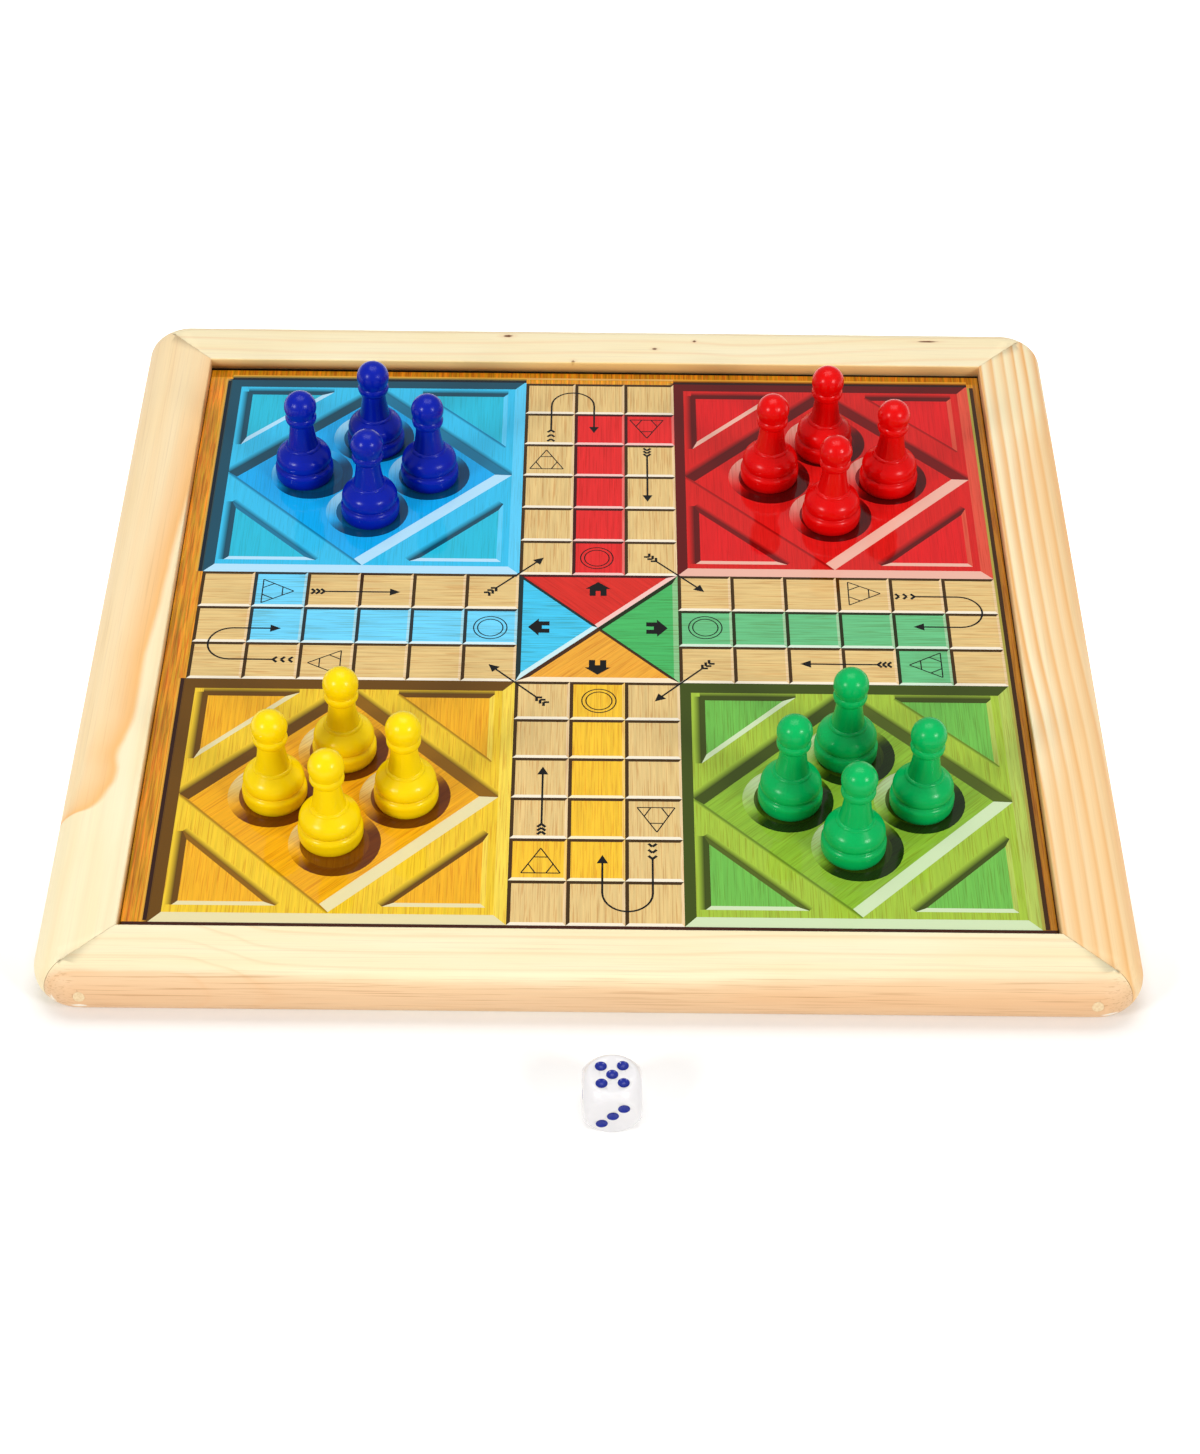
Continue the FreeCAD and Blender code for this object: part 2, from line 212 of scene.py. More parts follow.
def pine(name, centre, turn, figure, ring, early, depth, hairs,
         heart=None, knots=(), smears=(), painted_bounce=()):
    """Varnished pine, from the course of its rings, their width and the pale share of each."""
    material, tree = blank_material(name)
    spot = add(tree, "ShaderNodeTexCoord").outputs["Object"]
    here = add(tree, "ShaderNodeMapping", {
        "Vector": spot, "Location": centre, "Rotation": (0, 0, turn), "Scale": (MM, MM, MM),
    }, vector_type="TEXTURE")
    along, inward, up = add(tree, "ShaderNodeSeparateXYZ", {0: here}).outputs

    # rings lean a little and waver by some tenths of a millimetre
    depth_in = outside_of(tree, along, inward, figure)
    depth_in = add(tree, "ShaderNodeMath", {0: up, 1: RING_LEAN, 2: depth_in}, operation="MULTIPLY_ADD")
    waver = streaks(tree, here, RING_WAVER_SIZE)
    depth_in = add(tree, "ShaderNodeMath", {0: waver, 1: RING_WAVER, 2: depth_in},
                   operation="MULTIPLY_ADD")
    year = add(tree, "ShaderNodeMath", {0: depth_in, 1: ring}, operation="DIVIDE")
    year = add(tree, "ShaderNodeMath", {0: year}, operation="FRACT")
    growth = add(tree, "ShaderNodeValToRGB", {0: year})
    stops = growth.color_ramp.elements
    stops[0].position, stops[0].color = 0.0, (0.4, 0.4, 0.4, 1)
    stops[1].position, stops[1].color = 1.0, (0.4, 0.4, 0.4, 1)
    for position, level in ((0.10, 0.0), (early, 0.08), ((early + 0.9) / 2, 0.5), (0.9, 1.0)):
        stops.new(position).color = (level, level, level, 1)
    strength = add(tree, "ShaderNodeMapRange", {
        0: streaks(tree, here, RING_STRENGTH_SIZE), 1: 0.3, 2: 0.65, 3: depth * 0.55, 4: depth,
    })
    late = add(tree, "ShaderNodeMath", {0: growth, 1: strength}, operation="MULTIPLY")
    broad = add(tree, "ShaderNodeMapRange", {0: streaks(tree, here, BROAD_SIZE, 3.0), 1: 0.3, 2: 0.7})
    colour = add(tree, "ShaderNodeMix", {0: broad, 6: linear(SAPWOOD[0]), 7: linear(SAPWOOD[1])},
                 data_type="RGBA").outputs[2]
    colour = add(tree, "ShaderNodeMix", {0: late, 6: colour, 7: linear(LATE_WOOD)},
                 data_type="RGBA").outputs[2]

    # fibres are hair thin, and brown resin lines show best in heartwood
    fibre = streaks(tree, here, FIBRE_SIZE, 4.0)
    lines = add(tree, "ShaderNodeMapRange", {
        0: streaks(tree, here, RESIN_SIZE, 3.0), 1: 0.55, 2: 0.72, 3: 0.0, 4: hairs,
    })
    if heart:
        edge, ink, near, far, blur = heart
        inside = outside_of(tree, along, inward, edge)
        waver = streaks(tree, here, HEART_SIZE, 3.0)
        inside = add(tree, "ShaderNodeMath", {0: waver, 1: HEART_WAVER, 2: inside},
                     operation="MULTIPLY_ADD")
        middle = HEART_WAVER / 2
        mask = add(tree, "ShaderNodeMapRange", {0: inside, 1: middle - blur / 2, 2: middle + blur / 2},
                   interpolation_type="SMOOTHSTEP")
        full = add(tree, "ShaderNodeMapRange", {
            0: inside, 1: middle, 2: middle + HEART_DEPTH, 3: near, 4: far,
        })
        amount = add(tree, "ShaderNodeMath", {0: mask, 1: full}, operation="MULTIPLY")
        colour = add(tree, "ShaderNodeMix", {0: amount, 6: colour, 7: linear(ink)},
                     data_type="RGBA").outputs[2]
        shown = add(tree, "ShaderNodeMapRange", {0: mask, 3: 0.25, 4: 1.0})
        lines = add(tree, "ShaderNodeMath", {0: lines, 1: shown}, operation="MULTIPLY")

    # the sawn mitres leave a thin torn line where two rails meet
    offset = add(tree, "ShaderNodeVectorMath", {0: spot, 1: board_centre}, operation="SUBTRACT")
    offset = add(tree, "ShaderNodeVectorMath", {0: offset}, operation="ABSOLUTE")
    across, back, _ = add(tree, "ShaderNodeSeparateXYZ", {0: offset}).outputs
    gap = add(tree, "ShaderNodeMath", {0: across, 1: back}, operation="SUBTRACT")
    gap = add(tree, "ShaderNodeMath", {0: gap}, operation="ABSOLUTE")
    torn = add(tree, "ShaderNodeTexNoise", {"Vector": here, "Scale": 0.6, "Detail": 3.0})
    gap = add(tree, "ShaderNodeMath", {0: torn, 1: MITRE_STRAY, 2: gap}, operation="MULTIPLY_ADD")
    mitre = add(tree, "ShaderNodeMapRange", {
        0: gap, 1: MITRE_START, 2: MITRE_FULL, 3: 0.0, 4: MITRE_SHADE,
    })

    halo = add(tree, "ShaderNodeMath", {0: spots_mask(tree, here, knots, 0.6, 1.2, grown=2.6), 1: 0.45},
               operation="MULTIPLY")
    for mask, ink in (
        (lines, RESIN), (halo, KNOT_HALO), (spots_mask(tree, here, knots, 0.9, 0.6), KNOT),
        (mitre, MITRE_LINE), (spots_mask(tree, here, smears, 0.8, 0.4), SMEARED_FILLER),
        # painted light: warm bounce light on the back rail's shaded inner wall
        (spots_mask(tree, here, painted_bounce, 0.2, 0.5), PAINTED_WALL_BOUNCE),
    ):
        colour = add(tree, "ShaderNodeMix", {0: mask, 6: colour, 7: linear(ink)},
                     data_type="RGBA").outputs[2]
    shade = add(tree, "ShaderNodeMapRange", {0: fibre, 1: 0.25, 2: 0.75, 3: 0.965, 4: 1.02})
    colour = add(tree, "ShaderNodeVectorMath", {0: colour, 1: shade}, operation="MULTIPLY")

    relief = add(tree, "ShaderNodeMath", {0: late, 1: 0.6, 2: fibre}, operation="MULTIPLY_ADD")
    bump = add(tree, "ShaderNodeBump", {"Height": relief, "Strength": 0.2, "Distance": 0.05 * MM})
    gloss = add(tree, "ShaderNodeMapRange", {0: fibre, 1: 0.3, 2: 0.7, 3: 0.42, 4: 0.58})
    skin = add(tree, "ShaderNodeBsdfPrincipled", {
        "Base Color": colour, "Roughness": gloss, "IOR": 1.5, "Specular IOR Level": 0.3, "Normal": bump,
    })
    add(tree, "ShaderNodeOutputMaterial", {"Surface": skin})
    return material


# %% Dress the four rails
QUARTER = math.pi / 2
FRONT_LINE = [(-150, 2.0), (-118, 2.2), (-100, -1.8), (-84, -6.8), (-33, -7.9), (17, -7.9), (50, -6.8),
              (100, -6.8), (150, -7.0)]
FRONT_EDGE = [(-150, -5.0), (-84, -6.8), (-33, -7.9), (17, -7.9), (50, -6.8), (150, -5.0)]
RIGHT_EDGE = [(-150, 19), (-90, 17), (-60, 10), (-20, 6), (70, 6), (100, -2), (125, -16), (150, -18)]
LEFT_EDGE = [(-152, 18), (-100, 14), (-60, 11.5), (-32, 9.3), (-5, 8), (20, 6.3), (45, 6.2), (57, 4.2),
             (64, 2.8), (70, 3.7), (78, 2.0), (85, -1.5), (88, -7), (92, -14), (152, -16)]
RAILS = {
    "front": dict(turn=0, figure=FRONT_LINE, ring=6.0, early=0.8, depth=0.3, hairs=0.6,
                  heart=(FRONT_EDGE, "#E6B282", 0.6, 1.0, 4.0),
                  smears=[(-138.6, -9.5, -2.4, 2.6, 8, 0.8), (-146, -6, -1.5, 1.6, 4, 2.6),
                          (142.5, -9.5, -2.6, 2.8, 8, 0.9)]),
    "right": dict(turn=QUARTER, ring=3.85, early=0.3, depth=1.0, hairs=0.1,
                  figure=[(-150, 2.8), (-90, 3.1), (-55, 3.9), (-10, 5.9), (20, 6.5), (150, 7.2)],
                  heart=(RIGHT_EDGE, "#F2BC78", 0.1, 0.5, 6.0)),
    "back": dict(turn=2 * QUARTER, ring=6.2, early=0.72, depth=0.3, hairs=0.1,
                 figure=[(-133, -3), (-108, -2), (-92, -0.5), (-67, 2), (-50, 2.75), (-33, 1.5),
                         (-8, 1.2), (17, 2.2), (42, 3), (83, 3.2), (137, 1.7)],
                 knots=[(30, -3.8, 7, 2.0, 0.9, 9), (7.5, 10.9, 7, 0.8, 1.2, 2),
                        (-20.3, 2.8, 7, 1.1, 0.7, 9), (-34, -1.8, 7, 0.8, 0.7, 9),
                        (-114, -3, 7, 4.2, 0.6, 9)],
                 # painted light: warm bounce light along the inner wall, which lies in shade
                 painted_bounce=[(0, 12, 5, 600, 1.6, 30)]),
    "left": dict(turn=3 * QUARTER, ring=7.0, early=0.5, depth=0.12, hairs=0.15,
                 figure=[(-150, 2), (150, -3)], heart=(LEFT_EDGE, "#F9BC72", 1.0, 0.27, 2.6)),
}
for side, grain in RAILS.items():
    node = "rail_" + side
    low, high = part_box(node)
    wood = pine("varnished pine " + side, (low + high) / 2, **grain)
    rail = place(side + "_rail", smooth_copy(node, side + "_rail"), wood, "board", node)
    print(rail.name, len(rail.data.polygons), "faces")

# %% [markdown]
# ## Putty, nails and fibreboard
# The nails that cross in the mitres are sunk and stopped with wood putty, which dries paler and
# duller than the pine. The nails and the panel's core are out of sight, and still get their own
# finish, because the parts may be taken apart in a viewer.

# %% Stopping, steel and core
def speckled(name, first, second, grain_mm, roughness, metallic=0.0):
    """A dull body colour broken by a fine second colour: putty, drawn steel or pressed fibre."""
    material, tree = blank_material(name)
    here = add(tree, "ShaderNodeTexCoord").outputs["Object"]
    grit = add(tree, "ShaderNodeTexNoise", {
        "Vector": here, "Scale": 1 / (grain_mm * MM), "Detail": 4.0,
    })
    spread = add(tree, "ShaderNodeMapRange", {0: grit, 1: 0.35, 2: 0.65})
    colour = add(tree, "ShaderNodeMix", {0: spread, 6: linear(first), 7: linear(second)},
                 data_type="RGBA")
    bump = add(tree, "ShaderNodeBump", {"Height": grit, "Strength": 0.3, "Distance": 0.04 * MM})
    skin = add(tree, "ShaderNodeBsdfPrincipled", {
        "Base Color": colour.outputs[2], "Roughness": roughness, "Metallic": metallic, "Normal": bump,
    })
    add(tree, "ShaderNodeOutputMaterial", {"Surface": skin})
    return material


putty = speckled("wood putty", "#F2D9AE", "#E6C798", 0.7, 0.7)
stopping = smooth_copy("pin_fillers", "nail_stopping")
place("nail_stopping", stopping, putty, "board", "pin_fillers")
for node, finish in {
    "corner_pins": speckled("drawn steel wire", "#B9B6B0", "#8F8C87", 0.4, 0.35, metallic=1.0),
    "panel_core": speckled("pressed fibreboard", "#9A7148", "#6E4C2C", 1.1, 0.8),
}.items():
    nodes[node].data.materials.clear()
    nodes[node].data.materials.append(finish)
    print(node, "is", finish.name)

# %% [markdown]
# ## The printed film
# The ludo picture is ink under a clear glossy film. It imitates wooden tiles lit from the lower
# right: each tile has a dark edge above and to the left and a pale edge below and to the right. So
# one function draws every shape on the sheet: a field with bevelled edges whose ink depends only on
# which way the edge faces. Shapes are listed in painting order, then cut against each other into
# one flat mesh with no overlaps, and each little face keeps the ink of the topmost shape. The ink
# travels in a colour attribute, and a second attribute holds the direction of the printed wood
# grain.

# %% Drawing on a plan: patches, strips and bevelled shapes
BLACK_INK = "#0E0907"
PAPER = "#EFE6D2"
NO_GRAIN = (0.0, 0.0)
FOUR_CORNERS = ((-1, -1), (1, -1), (1, 1), (-1, 1))
# facing of an edge, as steps right and down, and which of a palette's inks it takes
EDGE_INKS = {
    (0, -1): "dark", (-1, -1): "dark", (-1, 0): "dark", (-1, 1): "faint",
    (0, 1): "light", (1, 1): "light", (1, 0): "side", (1, -1): "dim",
}


def paint(plan, outline, ink, grain=NO_GRAIN):
    """Adds a patch. Ink is a hex colour, or a function that gives one for a point."""
    plan.append(([Vector(p) for p in outline], ink, grain))


def facing(edge):
    """The outward side of an edge of a shape drawn clockwise on the page, as steps right and down."""
    length = edge.length
    return (round(edge.y / length), round(-edge.x / length))


def meeting(a, along_a, b, along_b):
    """Where two lines cross."""
    share = (b - a).cross(along_b) / along_a.cross(along_b)
    return a + along_a * share


def fading(start, outward, ink, ground):
    """Ink of a soft shadow beside an edge: full on the edge, gone where the shadow ends."""
    def shade(point):
        share = (point - start).dot(outward) / outward.length_squared
        return mixed(ink, ground, min(max(share, 0.0), 1.0))
    return shade


def bevelled(plan, outline, widths, palette, field, grain=NO_GRAIN, soft=None, ground=PAPER):
    """A field with an edge strip along each side, mitred at the corners, and soft shadows outside.

    The field carries the printed grain, and so do the strips that face right.
    """
    corners = [Vector(p) for p in outline]
    count = len(corners)
    sides = [corners[(i + 1) % count] - corners[i] for i in range(count)]
    kinds = [EDGE_INKS[facing(side)] for side in sides]
    outwards = [Vector((side.y, -side.x)).normalized() for side in sides]
    inset = [corners[i] - outwards[i] * widths[facing(sides[i])] for i in range(count)]
    inner = [meeting(inset[i - 1], sides[i - 1], inset[i], sides[i]) for i in range(count)]
    for i, ink in enumerate(kinds):
        after = (i + 1) % count
        if soft and ink in ("dark", "dim", "faint"):
            reach = outwards[i] * soft[facing(sides[i])]
            paint(plan, [corners[i], corners[after], corners[after] + reach, corners[i] + reach],
                  fading(corners[i], reach, mixed(palette[ink], BLACK_INK, 0.2), ground))
    for i, ink in enumerate(kinds):
        after = (i + 1) % count
        paint(plan, [corners[i], corners[after], inner[after], inner[i]], palette[ink],
              grain if ink == "side" else NO_GRAIN)
    if field:
        paint(plan, inner, field, grain)


def box_outline(left, top, right, bottom):
    """A rectangle, clockwise on the page."""
    return [(left, top), (right, top), (right, bottom), (left, bottom)]


def circle(centre, radius, steps=40):
    """A round outline, clockwise on the page."""
    turns = [2 * math.pi * i / steps for i in range(steps)]
    return [(centre[0] + radius * math.cos(t), centre[1] + radius * math.sin(t)) for t in turns]


# %% [markdown]
# ### Yards
# Each corner yard is a big tile with a raised diamond, a sunk triangle in each corner, and four
# dished discs where the pawns wait.

# %% Yards
BORDER = "#F0B347"
ALONG_ARM_DOWN = (0.0, 1.0)
ALONG_ARM_ACROSS = (1.0, 0.0)
YARD = 6.0
YARD_RIM = {(0, -1): 0.26, (-1, 0): 0.20, (0, 1): 0.225, (1, 0): 0.22}
BACK_BLEED, FRONT_BLEED = 0.06, 0.035
DIAMOND_REACH = 2.78
DIAMOND_RIM = {(-1, -1): 0.205, (1, -1): 0.225, (1, 1): 0.245, (-1, 1): 0.02}
# dark lines along the outside of the back and the left yards, as from and to
BACK_LINE, LEFT_LINE = (-0.10, -0.025), (-0.09, -0.02)
CORNER_INSET = 0.36
CORNER_LEG = 1.74
CORNER_RIM = {(0, -1): 0.10, (-1, 0): 0.09, (0, 1): 0.09, (1, 0): 0.09,
              (-1, -1): 0.07, (1, -1): 0.08, (1, 1): 0.10, (-1, 1): 0.015}
SHADOW = {(0, -1): 0.13, (-1, 0): 0.13, (-1, -1): 0.15, (1, -1): 0.11, (-1, 1): 0.06}
DISC_REACH = 1.15
DISC_RADIUS = 0.80
DISC_FLOOR = 0.60
# where the printed light comes from, where a dish turns from lit to shaded, and how far its inks go
PRINTED_LIGHT = math.radians(232)
DISH_TURN, DISH_SHINE, FLOOR_SHADE, FLOOR_SWING = 0.25, 0.9, 0.78, 0.16
YARDS = {
    "blue": ((0, 0), dict(
        panel="#42C2EE", corner="#37BFDD", diamond="#2BAEF0", dark="#2D5568", dim="#2F7A9C",
        light="#B6E3FA", side="#62CFF8", dish="#264A6A", grain=0.4, slant=(0.0, 0.4))),
    "red": ((9, 0), dict(
        panel="#D6312F", corner="#DE2E30", diamond="#DA2E2D", dark="#671F1F", dim="#7A2223",
        light="#EDB8A6", side="#DF5A48", dish="#5A1416", grain=0.8, slant=(0.0, 0.8))),
    "yellow": ((0, 9), dict(
        panel="#EDC83C", corner="#EFB233", diamond="#ECAC2D", dark="#6D4D23", dim="#8C6328",
        light="#E5DBAC", side="#F4D756", dish="#6C3F18", grain=1.0, slant=(0.7, -0.7))),
    "green": ((9, 9), dict(
        panel="#A5C347", corner="#74BC54", diamond="#8FB840", dark="#485529", dim="#5A682E",
        light="#D1E2B8", side="#B2C75F", dish="#303C1A", grain=0.9, slant=(0.6, -0.6))),
}


def around(centre, point):
    """How far a point's side of a disc turns to the printed light, from 1 at the upper left to -1."""
    lean = math.atan2(point.y - centre[1], point.x - centre[0])
    return math.cos(lean - PRINTED_LIGHT)


def dished(centre, palette):
    """Ink round a dish: pale at the upper left, its own colour at the sides, and the rest in shadow."""
    def ink(point):
        lit = around(centre, point)
        if lit > DISH_TURN:
            share = DISH_SHINE * (lit - DISH_TURN) / (1 - DISH_TURN)
            return mixed(palette["diamond"], palette["light"], share)
        share = max(lit + DISH_TURN, 0.0) / (2 * DISH_TURN)
        return mixed(palette["dish"], palette["diamond"], share)
    return ink


def dish_floor(centre, palette):
    """Ink of a dish's floor, darkest at the lower right."""
    def ink(point):
        share = FLOOR_SHADE - FLOOR_SWING * around(centre, point)
        return mixed(palette["diamond"], palette["dish"], share)
    return ink


def draw_yard(plan, corner, palette):
    """One yard, from its rim inwards."""
    left, top = corner
    palette = dict(palette, faint=mixed(palette["dark"], palette["diamond"], 0.62))
    middle = Vector((left + YARD / 2, top + YARD / 2))
    upright = (0.0, palette["grain"])
    back = top if top else -BACK_BLEED
    front = top + YARD + (FRONT_BLEED if top else 0.0)
    tile = box_outline(left, back, left + YARD, front)
    paint(plan, tile, palette["panel"], upright)
    for across, down in FOUR_CORNERS:
        point = middle + Vector((across, down)) * (YARD / 2 - CORNER_INSET)
        leg_u = point - Vector((across * CORNER_LEG, 0))
        leg_v = point - Vector((0, down * CORNER_LEG))
        triangle = [point, leg_u, leg_v] if across * down > 0 else [point, leg_v, leg_u]
        bevelled(plan, triangle, CORNER_RIM, palette, palette["corner"], upright, SHADOW,
                 palette["panel"])
    diamond = [middle + Vector(p) * DIAMOND_REACH for p in ((0, -1), (1, 0), (0, 1), (-1, 0))]
    bevelled(plan, diamond, DIAMOND_RIM, palette, palette["diamond"], palette["slant"], SHADOW,
             palette["panel"])
    for step in ((-1, 0), (1, 0), (0, -1), (0, 1)):
        disc = middle + Vector(step) * DISC_REACH
        paint(plan, circle(disc, DISC_RADIUS), dished(disc, palette), palette["slant"])
        paint(plan, circle(disc, DISC_FLOOR), dish_floor(disc, palette), upright)
    bevelled(plan, tile, YARD_RIM, palette, None, upright, SHADOW, BORDER)
    outer_ink = mixed(palette["dark"], BLACK_INK, 0.5)
    if not top:
        paint(plan, box_outline(left, BACK_LINE[0], left + YARD, BACK_LINE[1]), outer_ink)
    if not left:
        paint(plan, box_outline(LEFT_LINE[0], top, LEFT_LINE[1], top + YARD), outer_ink)


# %% [markdown]
# ### Track, home and marks
# The cross between the yards is three squares wide. Its coloured squares lead to the four home
# triangles. Arrows, triangles and rings mark the starts and turns. The marks repeat every quarter
# turn, so they are drawn once on the back arm and turned four times about the middle.

# %% Track squares
TRACK = "#E4C586"
ARM = (6, 9)
CELL_RIM = {(0, -1): 0.07, (-1, 0): 0.065, (0, 1): 0.07, (1, 0): 0.05}
HOME_INKS = {"red": "#E43737", "blue": "#73D6FC", "orange": "#F5C43E", "green": "#6EC387"}
MIDDLE = Vector((7.5, 7.5))


def tile_palette(ink):
    """Edge inks of a tile, mixed from the colour of its field."""
    dark = mixed(ink, "#24160E", 0.80)
    return dict(dark=dark, dim=dark, faint=dark,
                light=mixed(ink, "#FFFBF2", 0.74), side=mixed(ink, "#FBE3D2", 0.36))


def quarter_turned(point, turns):
    """A point turned about the middle, from the back arm to the left arm at each turn."""
    offset = Vector(point) - MIDDLE
    for _ in range(turns):
        offset = Vector((offset.y, -offset.x))
    return MIDDLE + offset


def arm_inks():
    """The coloured squares, by column and row."""
    inks = {}
    for turns, colour in enumerate(("red", "blue", "orange", "green")):
        squares = [(7.5, row + 0.5) for row in range(1, 6)] + [(8.5, 1.5)]
        for square in squares:
            column, row = quarter_turned(square, turns)
            inks[math.floor(column), math.floor(row)] = HOME_INKS[colour]
    return inks


def draw_track(plan):
    """All squares of the cross."""
    inks = arm_inks()
    count = 0
    for column in range(15):
        for row in range(15):
            upright = ARM[0] <= column < ARM[1]
            level = ARM[0] <= row < ARM[1]
            if upright == level:
                continue
            ink = inks.get((column, row), TRACK)
            grain = ALONG_ARM_DOWN if upright else ALONG_ARM_ACROSS
            square = box_outline(column, row, column + 1, row + 1 + (FRONT_BLEED if row == 14 else 0.0))
            bevelled(plan, square, CELL_RIM, tile_palette(ink), ink, grain)
            count += 1
    return count


# %% Home triangles and their house signs
HOME_RIM = {(0, -1): 0.07, (-1, 0): 0.09, (0, 1): 0.125, (1, 0): 0.10,
            (-1, -1): 0.09, (1, -1): 0.045, (1, 1): 0.10, (-1, 1): 0.016}
SLANT = math.sqrt(0.5)
HOMES = [("#DA3A33", (SLANT, SLANT)), ("#4CC9F1", ALONG_ARM_ACROSS),
         ("#EFAC42", (SLANT, -SLANT)), ("#50B968", ALONG_ARM_ACROSS)]
# a plain house seen from the front: eaves, ridge and walls, and a doorway, about its own middle
HOUSE = [(-0.24, -0.02), (0.0, -0.22), (0.24, -0.02), (0.16, -0.02), (0.16, 0.18), (-0.16, 0.18),
         (-0.16, -0.02)]
DOOR = [(-0.045, 0.04), (0.045, 0.04), (0.045, 0.18), (-0.045, 0.18)]
HOUSE_AT = Vector((7.5, 6.42))


def draw_homes(plan):
    """Four triangles that meet in the middle, each with a house that faces its player."""
    triangle = [(6, 6), (9, 6), (7.5, 7.5)]
    for turns, (ink, grain) in enumerate(HOMES):
        outline = [quarter_turned(p, turns) for p in triangle]
        bevelled(plan, outline, HOME_RIM, tile_palette(ink), ink, grain)
        paint(plan, [quarter_turned(HOUSE_AT + Vector(p), turns) for p in HOUSE], BLACK_INK)
        paint(plan, [quarter_turned(HOUSE_AT + Vector(p), turns) for p in DOOR], ink)


# %% Arrows, triangles and rings
STROKE = 0.037
HEAD_LONG = 0.20
HEAD_HALF = 0.10
FEATHER_STROKE = 0.05
FEATHER_HALF = 0.072
FINE_LINE = 0.023
CORNER_CUT = 0.36


def stroke(plan, points, width, ink=BLACK_INK):
    """A line of even width through some points."""
    points = [Vector(p) for p in points]
    for a, b in zip(points, points[1:]):
        side = (b - a).normalized().orthogonal() * width / 2
        paint(plan, [a - side, b - side, b + side, a + side], ink)


def arrow(plan, route, turns, feather_gap):
    """An arrow along a route, turned into its place, with three feathers behind its shaft."""
    route = [quarter_turned(p, turns) for p in route]
    ahead = (route[-1] - route[-2]).normalized()
    neck = route[-1] - ahead * HEAD_LONG
    side = ahead.orthogonal() * HEAD_HALF
    paint(plan, [route[-1], neck + side, neck - side], BLACK_INK)
    start = (route[1] - route[0]).normalized()
    barb = start.orthogonal() * FEATHER_HALF
    for feather in range(3):
        tip = route[0] + start * (FEATHER_HALF + feather_gap * feather)
        heel = tip - start * FEATHER_HALF
        stroke(plan, [heel + barb, tip, heel - barb], FEATHER_STROKE)
    stroke(plan, [tip] + route[1:-1] + [neck], STROKE)


def cut_triangle(plan, points, turns):
    """A fine triangle with a line across each corner."""
    points = [quarter_turned(p, turns) for p in points]
    stroke(plan, points + points[:1], FINE_LINE)
    for i, corner in enumerate(points):
        before, after = points[i - 1], points[(i + 1) % 3]
        stroke(plan, [corner.lerp(before, CORNER_CUT), corner.lerp(after, CORNER_CUT)], FINE_LINE)


def ring(plan, centre, radius, turns, ink):
    """A fine circle round ground of its own ink."""
    centre = quarter_turned(centre, turns)
    grain = ALONG_ARM_DOWN if turns % 2 == 0 else ALONG_ARM_ACROSS
    paint(plan, circle(centre, radius + FINE_LINE / 2), BLACK_INK)
    paint(plan, circle(centre, radius - FINE_LINE / 2), ink, grain)


def bend(centre, radius, start, end, steps=14):
    """Points round part of a circle, by angles in degrees."""
    turns = [math.radians(start + (end - start) * i / steps) for i in range(steps + 1)]
    return [(centre[0] + radius * math.cos(t), centre[1] + radius * math.sin(t)) for t in turns]


def draw_marks(plan):
    """The marks of one arm, four times round."""
    for turns, colour in enumerate(("red", "blue", "orange", "green")):
        arrow(plan, [(6.53, 1.90)] + bend((6.96, 0.73), 0.43, 180, 360) + [(7.39, 1.62)], turns, 0.145)
        arrow(plan, [(8.45, 2.10), (8.45, 3.78)], turns, 0.09)
        arrow(plan, [(5.40, 6.58), (6.46, 5.50)], turns, 0.09)
        cut_triangle(plan, [(8.11, 1.18), (8.78, 1.18), (8.45, 1.77)], turns)
        cut_triangle(plan, [(6.45, 2.18), (6.13, 2.78), (6.79, 2.78)], turns)
        for radius in (0.31, 0.235):
            ring(plan, (7.47, 5.50), radius, turns, HOME_INKS[colour])


# %% [markdown]
# ### From patches to one sheet
# A constrained Delaunay cut turns the overlapping patches into triangles that share their edges.
# Every triangle knows which patches it lies in, and the last one painted wins. The flat result is
# then given the film's real thickness, so that it is a closed sheet.

# %% Cut the patches and close the sheet
FILM_VEIL, DARKEST_INK = 0.018, 0.002
INSIDE_FACES, CUT_TOLERANCE = 1, 0.0005


def under_film(hex_code):
    """The bare ink, in linear light, that looks like a hex colour through the film's white shine."""
    return (*[max((c - FILM_VEIL) / (1 - FILM_VEIL), DARKEST_INK) for c in linear(hex_code)[:3]], 1.0)


